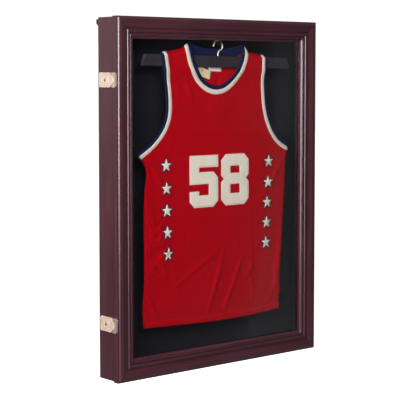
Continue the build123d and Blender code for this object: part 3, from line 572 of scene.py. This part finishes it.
BACK_FOLDS = [
    Fold((-60, 300), (-66, 120), 16, 3.0), Fold((10, 300), (2, 80), 14, 2.6),
    Fold((52, 310), (74, 140), 14, 3.0), Fold((-150, -280), (-120, 100), 16, 3.0),
    Fold((120, -280), (104, 60), 16, 3.0), Fold((-20, -280), (10, -60), 14, 3.0),
]


SEAM_CURVE = 24                # the cloth rounds over this far from its seams
ARM_FULLNESS, ARM_CURVE = 0.22, 34       # the armholes' edges hang close together
HALF_CLOTH = 0.6
SIDE_FALL = 0.018              # the front falls back this much for each step from the peg
FOLDS_FADE = 296               # folds are weaker above this height


def crumple(points):
    """Small soft wrinkles all over the cloth, longer down it than across."""
    return np.array([0.9 * noise.noise((x / 17, 0, z / 42))
                     + 0.45 * noise.noise((z / 13, 9, x / 26)) for x, z in points])


def hung_depth(points, side):
    """How far from the middle of the bar each point of a panel hangs."""
    share = np.clip(from_seams(points) / SEAM_CURVE, 0, 1)
    arms = np.minimum(away_from(points, arm_edge("left", side)),
                      away_from(points, arm_edge("right", side)))
    fullness = np.minimum(np.sqrt(1 - (1 - share) ** 2), ARM_FULLNESS + arms / ARM_CURVE)
    reach = (HUNG - JERSEY_FRONT if side == "front" else JERSEY_BACK - HUNG) / MM - HALF_CLOTH
    reach = reach - SIDE_FALL * np.abs(points[:, 0] - PEG_X)
    folds = sum(fold.height(points) for fold in (FRONT_FOLDS if side == "front" else BACK_FOLDS))
    folds = folds + crumple(points)
    calm = np.clip((FOLDS_FADE - points[:, 1]) / 30, 0.15, 1) * np.clip(share * 1.6, 0, 1)
    return reach * fullness + folds * calm


def sewn_panels():
    """The jersey's points, their places on the cut, and the triangles of its front and back."""
    step = bpy.context.scene.jersey_look.mesh_size / MM
    points, cut, faces, seam_points = [], [], {}, {}
    for side in ("front", "back"):
        flat, triangles = fill([outline(side, step)], step)
        on_seam = from_seams(flat) < ON_SEAM
        depth = hung_depth(flat, side) * (-1 if side == "front" else 1)
        index = []
        for (x, z), sewn, away in zip(flat, on_seam, depth):
            key = (round(x, 2), round(z, 2))
            if sewn and key in seam_points:
                index.append(seam_points[key])
                continue
            if sewn:
                seam_points[key] = len(points)
            index.append(len(points))
            cut.append((x, z))
            points.append((x * MM, HUNG + away * MM, DOOR_MIDDLE.z + z * MM))
        order = (0, 1, 2) if side == "front" else (0, 2, 1)
        faces[side] = [tuple(index[face[i]] for i in order) for face in triangles]
    return np.array(points), np.array(cut), faces, sorted(seam_points.values())


SLACK, LOW_SLACK = 0.004, 0.020          # the cut is wider than the held seams, more so low down
SETTLING_FRAMES = 22
FURTHEST_SHIFT = (4, 6, 4)


def settle(piece, cut, held):
    """Let the sewn cloth hang from its seams, a little too wide for where they are held."""
    scene = bpy.context.scene
    start = np.array([point.co for point in piece.data.vertices])
    loose = start.copy()
    loose[:, 0] *= 1 + SLACK + LOW_SLACK * np.clip((-40 - cut[:, 1]) / 200, 0, 1)
    loose[:, 2] = DOOR_MIDDLE.z + (loose[:, 2] - DOOR_MIDDLE.z) * (1 + SLACK)
    piece.shape_key_add(name="hung")
    key = piece.shape_key_add(name="cut")
    key.data.foreach_set("co", loose.ravel())
    key.value = 0.0
    group = piece.vertex_groups.new(name="held")
    group.add([int(i) for i in held], 1.0, "REPLACE")
    cloth = piece.modifiers.new("Hang", "CLOTH")
    for name, value in (("quality", 6), ("mass", 0.12), ("tension_stiffness", 20),
                        ("compression_stiffness", 20), ("shear_stiffness", 8),
                        ("bending_stiffness", 0.25), ("air_damping", 2.0),
                        ("vertex_group_mass", group.name), ("rest_shape_key", key)):
        setattr(cloth.settings, name, value)
    cloth.collision_settings.use_collision = False
    cloth.collision_settings.use_self_collision = False
    cloth.point_cache.frame_start, cloth.point_cache.frame_end = 1, SETTLING_FRAMES
    for number in range(1, SETTLING_FRAMES + 1):
        scene.frame_set(number)
    settled = bpy.data.meshes.new_from_object(piece.evaluated_get(
        bpy.context.evaluated_depsgraph_get()))
    moved = np.array([point.co for point in settled.vertices]) - start
    bpy.data.meshes.remove(settled)
    piece.modifiers.remove(cloth)
    piece.shape_key_clear()
    scene.frame_set(1)
    limit = np.array(FURTHEST_SHIFT) * MM
    return start + np.clip(moved, -limit, limit)


PANE_CLEARANCE = 2.8
SWIVEL = 0.0176                # the sides swing forward this much for each step from the peg
FELT_ROOM = 6
BAR_REACH, BAR_EASE = 26, 23   # the bar holds the cloth out this far above and below it
BAR_CLEARANCE, HALF_GAP = 0.6, 1.2


def hold_clear(points, cut, side, seam):
    """Keep a panel behind the pane, in front of the felt and off the hanger bar."""
    behind_pane = PANE_BACK + (PANE_CLEARANCE + SWIVEL * np.abs(cut[:, 0] - PEG_X)) * MM
    height = cut[:, 1] * MM + DOOR_MIDDLE.z
    past_bar = np.maximum(height - BAR_HIGH.z, BAR_LOW.z - height) / MM
    near_bar = np.clip((BAR_REACH - past_bar) / BAR_EASE, 0, 1)
    gap = HALF_GAP * MM + near_bar * ((BAR_HIGH.y - BAR_LOW.y) / 2 + BAR_CLEARANCE * MM)
    gap = gap * np.clip(seam / 6, 0, 1)
    if side == "front":
        points[:, 1] = np.clip(points[:, 1], behind_pane, HUNG - gap)
    else:
        points[:, 1] = np.clip(points[:, 1], HUNG + gap, JERSEY_BACK + FELT_ROOM * MM)
    return points


class HungCloth:
    """The hung jersey, found again from a place on its flat cut."""

    def __init__(self):
        self.jersey = bpy.data.objects["jersey"]
        mesh = self.jersey.data
        cut = np.zeros(len(mesh.vertices) * 2)
        mesh.attributes["cut"].data.foreach_get("vector", cut)
        self.cut = [Vector((x, 0, z)) for x, z in cut.reshape(-1, 2)]
        back = np.zeros(len(mesh.polygons), bool)
        mesh.attributes["back"].data.foreach_get("value", back)
        self.faces, self.trees = {}, {}
        for side, wanted in (("front", False), ("back", True)):
            self.faces[side] = [tuple(face.vertices) for face, is_back
                                in zip(mesh.polygons, back) if is_back == wanted]
            self.trees[side] = BVHTree.FromPolygons(self.cut, self.faces[side])

    def at(self, x, z, lift, side="front"):
        """The place in space over a place on the cut, lifted off the cloth's outside.

        The place on the cut and the lift are in millimetres."""
        spot = Vector((x, 0, z))
        near, _, number, _ = self.trees[side].find_nearest(spot)
        face = self.faces[side][number]
        shares = poly_3d_calc([self.cut[i] for i in face], near)
        corners = [self.jersey.data.vertices[i] for i in face]
        place = sum((corner.co * share for corner, share in zip(corners, shares)), Vector())
        out = sum((corner.normal * share for corner, share in zip(corners, shares)), Vector())
        return place + (spot - near) * MM + out.normalized() * lift * MM

    def lay(self, line, lift, side="front"):
        """A line of the cut, laid on the cloth."""
        return [self.at(x, z, lift, side) for x, z in line]


def jersey_piece(name, mesh, *materials):
    """A mesh piece of the jersey, which rides on the hanger."""
    mesh.materials.clear()
    for material in materials:
        mesh.materials.append(material)
    piece = bpy.data.objects.new(name, mesh)
    bpy.context.scene.collection.objects.link(piece)
    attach(piece, "hanger")
    return piece


def cloth_piece(name, points, faces, *materials):
    """A smooth piece of the jersey from points and faces."""
    mesh = bpy.data.meshes.new(name)
    mesh.from_pydata([tuple(point) for point in points], [], faces)
    mesh.polygons.foreach_set("use_smooth", [True] * len(mesh.polygons))
    mesh.update()
    return jersey_piece(name, mesh, *materials)


def thicken(piece, thickness, offset=-1.0):
    """Give a sheet its thickness, as part of its mesh."""
    solid = piece.modifiers.new("Thickness", "SOLIDIFY")
    solid.thickness, solid.offset = thickness, offset


def threads(name, lines, radius, material, closed=False):
    """Thin round threads along lines in space, as one mesh piece."""
    curve = bpy.data.curves.new(name, "CURVE")
    curve.dimensions = "3D"
    curve.bevel_depth = radius
    curve.bevel_resolution = 1
    curve.use_fill_caps = not closed
    for line in lines:
        spline = curve.splines.new("POLY")
        spline.points.add(len(line) - 1)
        for point, place in zip(spline.points, line):
            point.co = (*place, 1)
        spline.use_cyclic_u = closed
    maker = bpy.data.objects.new(name + "_line", curve)
    mesh = bpy.data.meshes.new_from_object(maker)
    bpy.data.objects.remove(maker)
    mesh.name = name
    jersey_piece(name, mesh, material)


STITCH_STEP, STITCH, STITCH_EVERY = 0.65 * MM, 4, 6


def stitches(line):
    """Short stitches along a line in space, each a few steps long."""
    dots = evenly([tuple(point) for point in line], STITCH_STEP)
    return [dots[i:i + STITCH + 1] for i in range(0, len(dots) - STITCH, STITCH_EVERY)]


# ------------------------------------------------------------------ operators


class CaseWood(bpy.types.Operator):
    """Stain and lacquer the case boards, the door's moulding and the glazing beads"""

    bl_idname = "display_case.wood"
    bl_label = "Mahogany Case and Door"

    def execute(self, context):
        for upright, sides in ((True, ("left", "right")), (False, ("top", "bottom"))):
            run = "upright" if upright else "level"
            door = mahogany(f"Door mahogany, {run} grain", upright, DOOR_LOW, DOOR_HIGH, QUIRKS)
            case = mahogany(f"Case mahogany, {run} grain", upright, CASE_LOW, CASE_HIGH)
            for side in sides:
                dress([("door_stile_" if upright else "door_rail_") + side,
                       "glazing_bead_" + side], door)
                dress([("case_side_" if upright else "case_") + side], case)
        return {"FINISHED"}


class CaseLining(bpy.types.Operator):
    """Line the case with felt and close its back with hardboard"""

    bl_idname = "display_case.lining"
    bl_label = "Felt Lining and Back"

    def execute(self, context):
        dress(["back_felt", *named("liner_")], felt())
        dress(["back_panel"], hardboard())
        return {"FINISHED"}


class CasePane(bpy.types.Operator):
    """Glaze the door with clear acrylic"""

    bl_idname = "display_case.pane"
    bl_label = "Pane"

    def execute(self, context):
        dress(["pane"], clear_acrylic())
        return {"FINISHED"}


class CaseFittings(bpy.types.Operator):
    """Finish the latches, hinges, screws, wall hangers, bumpers and buffers"""

    bl_idname = "display_case.fittings"
    bl_label = "Brass and Steel Fittings"

    def execute(self, context):
        look = context.scene.case_finish
        brass = plated("Pale latch brass", look.pale_brass, 0.30, 0.36, 0.5)
        dress(named("latch_upper", "latch_lower"), brass)
        dress(["catch_upper", "catch_lower"],
              plated("Bright catch brass", look.pale_brass, 0.18, 0.26, 0.75))
        dress(named("lock_"), plated("Lock plug brass", look.hinge_brass, 0.30, 0.42))
        dress(named("hinge_"), plated("Hinge brass", look.hinge_brass, 0.20, 0.34))
        dress(named("latch_screws", "catch_screws"),
              plated("Latch screws", look.pale_brass, 0.2, 0.3))
        dress(named("wall_hanger_", "panel_pins", "peg_washer", "peg_nut"),
              plated("Zinc plate", look.steel, 0.3, 0.5))
        dress(["wall_bumpers", "door_buffers"],
              moulded("Black rubber", look.rubber, 0.7, 0.9, 700.0))
        return {"FINISHED"}


class HangerFinish(bpy.types.Operator):
    """Finish the hanger's bar and hook and the peg they hang on"""

    bl_idname = "display_case.hanger"
    bl_label = "Hanger, Hook and Peg"

    def execute(self, context):
        look = context.scene.case_finish
        dress(["hanger_bar"], moulded("Charcoal moulded bar", look.bar, 0.42, 0.62, 260.0))
        dress(["hanger_hook"], plated("Plated hook wire", look.wire, 0.36, 0.46, 0.6))
        dress(["hanger_peg"], moulded("Black enamel", look.enamel, 0.12, 0.24, 120.0))
        return {"FINISHED"}


class JerseyBody(bpy.types.Operator):
    """Sew the jersey's front and back and hang them over the bar"""

    bl_idname = "display_case.jersey"
    bl_label = "Jersey"

    def execute(self, context):
        look = context.scene.jersey_look
        points, cut, faces, sewn = sewn_panels()
        triangles = faces["front"] + faces["back"]
        red = knit("Red jersey knit", look.red)
        jersey = cloth_piece("jersey", points, triangles, red)
        points = settle(jersey, cut, sewn)
        seam = from_seams(cut)
        for side in ("front", "back"):
            used = np.unique(np.array(faces[side]).ravel())
            free = used[seam[used] > ON_SEAM]
            points[free] = hold_clear(points[free], cut[free], side, seam[free])
        mesh = jersey.data
        mesh.vertices.foreach_set("co", points.ravel())
        mesh.attributes.new("cut", "FLOAT2", "POINT").data.foreach_set("vector", cut.ravel())
        back = [False] * len(faces["front"]) + [True] * len(faces["back"])
        mesh.attributes.new("back", "BOOLEAN", "FACE").data.foreach_set("value", back)
        mesh.update()
        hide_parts("jersey_front", "jersey_back")
        return {"FINISHED"}


TRIM_INSIDE, TRIM_OUTSIDE = -1.4, 1.05   # how far the ribbing stands off the cloth
TRIM_SEAM, TRIM_FOOT = 0.7, 0.5          # and where navy meets cream, and at its outer edge
TRIM_FOLD = 1.5                          # the fold reaches past the cloth's cut edge
RIM_STEP = 3.0


def trim(cloth, name, rims, narrower=0.0):
    """A folded trim over an open edge: navy inside and over the edge, then cream outside.

    Each rim is a point of the edge, the direction in from it along the cut, its side, and how
    much deeper the trim is inside there."""
    look = bpy.context.scene.jersey_look
    navy = look.navy_width / MM - narrower
    full = navy + look.cream_width / MM - narrower / 2
    rows = [(reach, TRIM_INSIDE) for reach in (-full, -full * 0.6, -full * 0.25, -0.3)]
    rows += [(0, 0)] + [(reach, TRIM_OUTSIDE) for reach in (0.3, navy * 0.55, navy - 0.25)]
    rows += [(navy, TRIM_SEAM)]
    rows += [(reach, TRIM_OUTSIDE) for reach in (navy + 0.3, navy + full * 0.25, full - 0.6)]
    rows += [(full, TRIM_FOOT)]
    points, gone, travelled, last = [], [], 0.0, rims[0][0]
    for edge, inward, side, deep in rims:
        travelled += (Vector(edge) - Vector(last)).length * MM
        last = edge
        gone.append(travelled)
        for reach, lift in rows:
            away = reach or -TRIM_FOLD
            if reach < 0:
                away, lift = -reach * deep, lift * deep
            spot = Vector(edge) + Vector(inward) * away
            points.append(cloth.at(spot.x, spot.y, lift, side))
    gone.append(travelled + (Vector(rims[0][0]) - Vector(last)).length * MM)
    width, faces, laid, kinds = len(rows), [], [], []
    for i in range(len(rims)):
        here, after = i * width, (i + 1) % len(rims) * width
        for j in range(width - 1):
            faces.append((here + j, here + j + 1, after + j + 1, after + j))
            start, end = rows[j][0] * MM, rows[j + 1][0] * MM
            laid += [(gone[i], start), (gone[i], end), (gone[i + 1], end), (gone[i + 1], start)]
            kinds.append(1 if rows[j][0] >= navy else 0)
    piece = cloth_piece(name, points, faces, bpy.data.materials["Navy ribbing"],
                        bpy.data.materials["Cream ribbing"])
    sheet = piece.data.uv_layers.new(name="trim")
    sheet.data.foreach_set("uv", np.array(laid).ravel())
    piece.data.polygons.foreach_set("material_index", kinds)


def rim(line, side, first, last, share, turn=1):
    """An open edge with the direction in from it, turned at its ends to run along the seams there.

    The turn is -1 where the cloth lies to the left of the line."""
    line = evenly(line, RIM_STEP)
    ahead = np.gradient(line, axis=0)
    ahead /= np.linalg.norm(ahead, axis=1)[:, None]
    inward = turn * np.stack([ahead[:, 1], -ahead[:, 0]], axis=1)
    for i, place in enumerate(np.linspace(0, 1, len(line))):
        for seam, near in ((first, 1 - place / share), (last, 1 - (1 - place) / share)):
            if near > 0:
                turned = inward[i] * (1 - near) + np.array(seam) * near
                inward[i] = turned / np.linalg.norm(turned)
    return [(tuple(point), tuple(way), side, 1.0) for point, way in zip(line, inward)]


def heading(start, end):
    """The direction from one point of the cut to another."""
    way = Vector(end) - Vector(start)
    return tuple(way.normalized())


class JerseyTrims(bpy.types.Operator):
    """Sew the ribbed trims round the neck and the armholes"""

    bl_idname = "display_case.trims"
    bl_label = "Neck and Armhole Trims"

    def execute(self, context):
        look = context.scene.jersey_look
        ribbing("Navy ribbing", look.navy)
        ribbing("Cream ribbing", look.cream)
        cloth = HungCloth()
        down_left = heading(NECK_LEFT, SHOULDER_SEAM_LEFT[1])
        down_right = heading(NECK_RIGHT, SHOULDER_SEAM_RIGHT[1])
        front, back = (rim(neckline(side), side, down_left, down_right, 0.12)
                       for side in ("front", "back"))
        back = [(*near, 1 + 0.45 * math.sin(math.pi * i / (len(back) - 1)))
                for i, (*near, _) in enumerate(back)]
        trim(cloth, "neck_trim", front + back[::-1][1:-1])
        for hand, shoulder, seam, turn in (("left", SHOULDER_SEAM_LEFT, SIDE_SEAM_LEFT, -1),
                                           ("right", SHOULDER_SEAM_RIGHT, SIDE_SEAM_RIGHT, 1)):
            up, down = heading(shoulder[-1], shoulder[-2]), heading(seam[0], seam[1])
            front, back = (rim(arm_edge(hand, side), side, up, down, 0.1, turn)
                           for side in ("front", "back"))
            trim(cloth, f"armhole_trim_{hand}", front + back[::-1][1:-1], 2.6)
        return {"FINISHED"}


def block_five(w, h, s, c):
    """The outline of a block numeral five, with cut corners."""
    low, high = h * 0.45, h * 0.45 + s
    return [[(0, h), (0, low), (w - s, low), (w - s, s), (s, s), (s, 0.31 * h), (0, 0.31 * h),
             (0, c), (c, 0), (w - c, 0), (w, c), (w, high - c), (w - c, high), (s, high),
             (s, h - s), (w, h - s), (w, h)]]


def block_eight(w, h, s, c):
    """The outline of a block numeral eight, with its two openings."""
    waist = h * 0.52
    notch = c * 0.62
    outer = [(c, 0), (w - c, 0), (w, c), (w, waist - notch), (w - notch, waist), (w, waist + notch),
             (w, h - c), (w - c, h), (c, h), (0, h - c), (0, waist + notch), (notch, waist),
             (0, waist - notch), (0, c)]
    half = s * 0.46
    return [outer,
            [(s, s), (w - s, s), (w - s, waist - half), (s, waist - half)],
            [(s, waist + half), (w - s, waist + half), (w - s, h - s), (s, h - s)]]


def star(radius, x, z, tilt=0.0):
    """A plain five-pointed star."""
    corners = []
    for i in range(10):
        reach = radius if i % 2 == 0 else radius * 0.43
        turn = math.pi / 2 + i * math.pi / 5 + tilt
        corners.append((x + reach * math.cos(turn), z + reach * math.sin(turn)))
    return corners


def closed_evenly(loop, step):
    """A closed loop of corners with points along its sides, its corners kept."""
    parts = [evenly([loop[i], loop[(i + 1) % len(loop)]], step)[:-1] for i in range(len(loop))]
    return np.concatenate(parts)


def patch(cloth, name, shapes, step, lift, material, thickness, side="front"):
    """Shapes cut from twill or card and laid on the cloth, as one piece."""
    points, faces = [], []
    for loops in shapes:
        flat, triangles = fill([closed_evenly(loop, step) for loop in loops], step)
        first = len(points)
        points += [cloth.at(x, z, lift, side) for x, z in flat]
        faces += [tuple(first + i for i in (face if side == "front" else face[::-1]))
                  for face in triangles]
    thicken(cloth_piece(name, points, faces, material), thickness)


NUMERAL_LEFTS, NUMERAL_FOOT = (-78.5, 18.0), -29.0
NUMERAL_STROKE, NUMERAL_CORNER = 27.5, 14.0


class JerseyNumerals(bpy.types.Operator):
    """Sew the two block numerals on the jersey's front"""

    bl_idname = "display_case.numerals"
    bl_label = "Numerals"

    def execute(self, context):
        look = context.scene.jersey_look
        cloth = HungCloth()
        wide, high = look.numeral_width / MM, look.numeral_height / MM
        shapes = []
        for left, shape in zip(NUMERAL_LEFTS, (block_five, block_eight)):
            loops = shape(wide, high, NUMERAL_STROKE, NUMERAL_CORNER)
            shapes.append([[(left + x, NUMERAL_FOOT + z) for x, z in loop] for loop in loops])
        cream = twill("Cream twill", look.cream)
        patch(cloth, "numerals", shapes, 4.0, 1.25, cream, 0.9 * MM)
        lines = [cloth.lay(closed_evenly(loop, 2.5), 1.3) for loops in shapes for loop in loops]
        threads("numeral_edging", lines, 0.62 * MM, thread("Cream thread", look.cream), True)
        return {"FINISHED"}


STARS = ((-148, 73), (-147, 20), (-146, -31), (-145, -81), (-144, -131),
         (170.5, 69.5), (168, 18.5), (165.5, -31), (163, -80), (160.5, -129))


class JerseyStars(bpy.types.Operator):
    """Sew a row of bordered stars down each side of the front"""

    bl_idname = "display_case.stars"
    bl_label = "Stars"

    def execute(self, context):
        look = context.scene.jersey_look
        cloth = HungCloth()
        navy = twill("Navy twill", look.navy)
        borders = [[star(look.star_border / MM, x, z)] for x, z in STARS]
        faces = [[star(look.star / MM, x, z)] for x, z in STARS]
        patch(cloth, "star_borders", borders, 3.0, 1.1, navy, 0.7 * MM)
        patch(cloth, "stars", faces, 3.0, 1.9, bpy.data.materials["Cream twill"], 0.8 * MM)
        lines = [cloth.lay(closed_evenly(loops[0], 2.0), 1.15) for loops in borders]
        threads("star_edging", lines, 0.5 * MM, thread("Navy thread", look.navy), True)
        return {"FINISHED"}


class JerseyHem(bpy.types.Operator):
    """Turn up the hem, and stitch it"""

    bl_idname = "display_case.hem"
    bl_label = "Hem and Stitching"

    def execute(self, context):
        look = context.scene.jersey_look
        cloth = HungCloth()
        red = bpy.data.materials["Red jersey knit"]
        # real stitches, but their darker red than the knit is painted shade of the sunken stitch
        # lines
        stitch_thread_shaded = thread("Red thread", tuple(part * 0.40 for part in look.red))
        lines = []
        for side in ("front", "back"):
            foot = evenly(HEM_FOOT, 4.0)
            loop = np.concatenate([foot, foot[::-1] + (0, 15.5)])
            flat, triangles = fill([loop], 4.0)
            points = [cloth.at(x, z - (0.8 if z < -290 else 0), 1.5, side) for x, z in flat]
            turned = [face if side == "front" else face[::-1] for face in triangles]
            thicken(cloth_piece(f"hem_{side}", points, turned, red), 0.8 * MM)
            for rise in (17.0, 32.0):
                lines += stitches(cloth.lay(foot + (0, rise), 0.35, side))
        threads("hem_stitching", lines, 0.5 * MM, stitch_thread_shaded)
        return {"FINISHED"}


class JerseyLabels(bpy.types.Operator):
    """Sew a blank label inside the neck, with a blank card tag beside it"""

    bl_idname = "display_case.labels"
    bl_label = "Label and Tag"

    def execute(self, context):
        look = context.scene.jersey_look
        cloth = HungCloth()
        label = [(-15, 287.5), (24, 287), (24, 314), (-15, 314)]
        patch(cloth, "neck_label", [[label]], 4.0, -1.6, twill("White label", look.label),
              0.5 * MM, "back")
        turns = [i * math.pi / 6 for i in range(12)]
        eyelet = [(-35 + 1.6 * math.cos(turn), 289 + 1.6 * math.sin(turn)) for turn in turns]
        card = [(-60, 280), (-17.5, 268), (-9.5, 288), (-52, 302)]
        patch(cloth, "card_tag", [[card, eyelet]], 3.0, -3.2, twill("Card tag", look.tag),
              0.5 * MM, "back")
        return {"FINISHED"}


class JerseySheet(bpy.types.Operator):
    """Give the jersey its thickness"""

    bl_idname = "display_case.cloth"
    bl_label = "Cloth Thickness"

    def execute(self, context):
        jersey = bpy.data.objects["jersey"]
        thicken(jersey, context.scene.jersey_look.cloth, 0.0)
        for side in ("front", "back"):
            x, z = outline(side, 5.0).T * MM
        front = outline("front", 5.0) * MM
        return {"FINISHED"}


FLOOR_SPAN, FLOOR_CORNERS = 30.0, 24     # half the floor's width, and how many corners it has


def lamp(name, place, target, size, power, tint=(1, 1, 1)):
    """A soft area light that points at a place."""
    data = bpy.data.lights.new(name, "AREA")
    data.shape, data.energy, data.color = "RECTANGLE", power, tint
    data.size, data.size_y = size
    light = bpy.data.objects.new(name, data)
    light.location = place
    light.rotation_euler = (Vector(target) - Vector(place)).to_track_quat("-Z", "Y").to_euler()
    bpy.context.scene.collection.objects.link(light)


class Studio(bpy.types.Operator):
    """Lay the pale floor, light the case softly and stand the camera in front of it"""

    bl_idname = "display_case.studio"
    bl_label = "Studio"

    def execute(self, context):
        scene = context.scene
        studio = scene.studio_settings
        scene.view_settings.view_transform = "Standard"
        front = Vector((DOOR_MIDDLE.x, DOOR_LOW.y, DOOR_MIDDLE.z))

        data = bpy.data.cameras.new("Camera")
        data.lens, data.sensor_width, data.shift_y = studio.lens, 36.0, -0.09
        data.clip_start, data.clip_end = 0.05, 100.0
        camera = bpy.data.objects.new("Camera", data)
        camera.location = front + Vector(studio.stand)
        camera.rotation_euler = (math.pi / 2 - studio.pitch, 0, -studio.yaw)
        scene.collection.objects.link(camera)
        scene.camera = camera

        paper = Recipe("Pale floor paper")
        mottle = paper.noise(paper.place(), 3.0, 3.0)
        shade = paper.blend(paper.between(mottle, 0.3, 0.7), rgba(studio.paper, 0.985),
                            rgba(studio.paper))
        seen_straight = paper.add("LightPath", output="Is Camera Ray")
        shade = paper.blend(seen_straight, (0.16, 0.16, 0.16, 1), shade)
        paper.finish(Base_Color=shade, Roughness=0.9, Emission_Color=WHITE,
                     Emission_Strength=paper.math("MULTIPLY", 0.9, seen_straight))
        turns = [i * math.tau / FLOOR_CORNERS for i in range(FLOOR_CORNERS)]
        corners = [(FLOOR_SPAN * math.cos(turn), FLOOR_SPAN * math.sin(turn),
                    DOOR_LOW.z - studio.floor_drop) for turn in turns]
        floor_mesh = bpy.data.meshes.new("floor")
        floor_mesh.from_pydata(corners, [], [tuple(range(FLOOR_CORNERS))])
        floor_mesh.materials.append(paper.material)
        floor = bpy.data.objects.new("floor", floor_mesh)
        scene.collection.objects.link(floor)

        world = bpy.data.worlds.new("Studio")
        world.use_nodes = True
        tree = world.node_tree
        nodes, links = tree.nodes, tree.links
        background = nodes["Background"]
        background.inputs["Color"].default_value = WHITE
        seen = nodes.new("ShaderNodeLightPath")
        way = nodes.new("ShaderNodeTexCoord")
        parts = nodes.new("ShaderNodeSeparateXYZ")
        links.new(way.outputs["Generated"], parts.inputs[0])
        depth = nodes.new("ShaderNodeMapRange")
        for name, value in (("From Min", -0.5), ("From Max", 0.7), ("To Min", 0.07),
                            ("To Max", 0.50)):
            depth.inputs[name].default_value = value
        links.new(parts.outputs["Y"], depth.inputs["Value"])
        strength = nodes.new("ShaderNodeMix")
        links.new(seen.outputs["Is Camera Ray"], strength.inputs[0])
        links.new(depth.outputs[0], strength.inputs[2])
        strength.inputs[3].default_value = 1.05
        links.new(strength.outputs[0], background.inputs["Strength"])
        scene.world = world

        lamp("Key", front + Vector((-2.35, -1.05, 0.45)), front, (1.7, 1.25), 92, (0.96, 0.92, 1))
        lamp("Front fill", front + Vector((-1.0, -2.7, 2.0)), front, (1.6, 1.2), 66)
        lamp("Back fill", front + Vector((0.9, 3.0, 1.3)), front, (2.0, 1.5), 70)
        return {"FINISHED"}


OPERATORS = (CaseWood, CaseLining, CasePane, CaseFittings, HangerFinish, JerseyBody, JerseyTrims,
             JerseyNumerals, JerseyStars, JerseyHem, JerseyLabels, JerseySheet, Studio)


class DisplayCasePanel(bpy.types.Panel):
    """The case's pieces, sizes and colours"""

    bl_idname = "VIEW3D_PT_display_case"
    bl_label = "Jersey Display Case"
    bl_space_type = "VIEW_3D"
    bl_region_type = "UI"
    bl_category = "Display Case"

    def draw(self, context):
        layout = self.layout
        for operator in OPERATORS:
            layout.operator(operator.bl_idname)
        for settings in (context.scene.case_finish, context.scene.jersey_look,
                         context.scene.studio_settings):
            column = layout.column()
            for name in settings.bl_rna.properties.keys():
                if name not in ("rna_type", "name"):
                    column.prop(settings, name)


CLASSES = (CaseFinish, JerseyLook, StudioSettings, *OPERATORS, DisplayCasePanel)


def register():
    """Make the operators, the panel and their settings known to Blender."""
    for each in CLASSES:
        bpy.utils.register_class(each)
    bpy.types.Scene.case_finish = PointerProperty(type=CaseFinish)
    bpy.types.Scene.jersey_look = PointerProperty(type=JerseyLook)
    bpy.types.Scene.studio_settings = PointerProperty(type=StudioSettings)


def unregister():
    """Take them away again."""
    del bpy.types.Scene.studio_settings
    del bpy.types.Scene.jersey_look
    del bpy.types.Scene.case_finish
    for each in reversed(CLASSES):
        bpy.utils.unregister_class(each)


def main():
    """Make every piece and the studio."""
    register()
    for step in (bpy.ops.display_case.wood, bpy.ops.display_case.lining,
                 bpy.ops.display_case.pane, bpy.ops.display_case.fittings,
                 bpy.ops.display_case.hanger, bpy.ops.display_case.jersey,
                 bpy.ops.display_case.trims, bpy.ops.display_case.numerals,
                 bpy.ops.display_case.stars, bpy.ops.display_case.hem,
                 bpy.ops.display_case.labels, bpy.ops.display_case.cloth,
                 bpy.ops.display_case.studio):
        step()


if __name__ == "__main__":
    main()
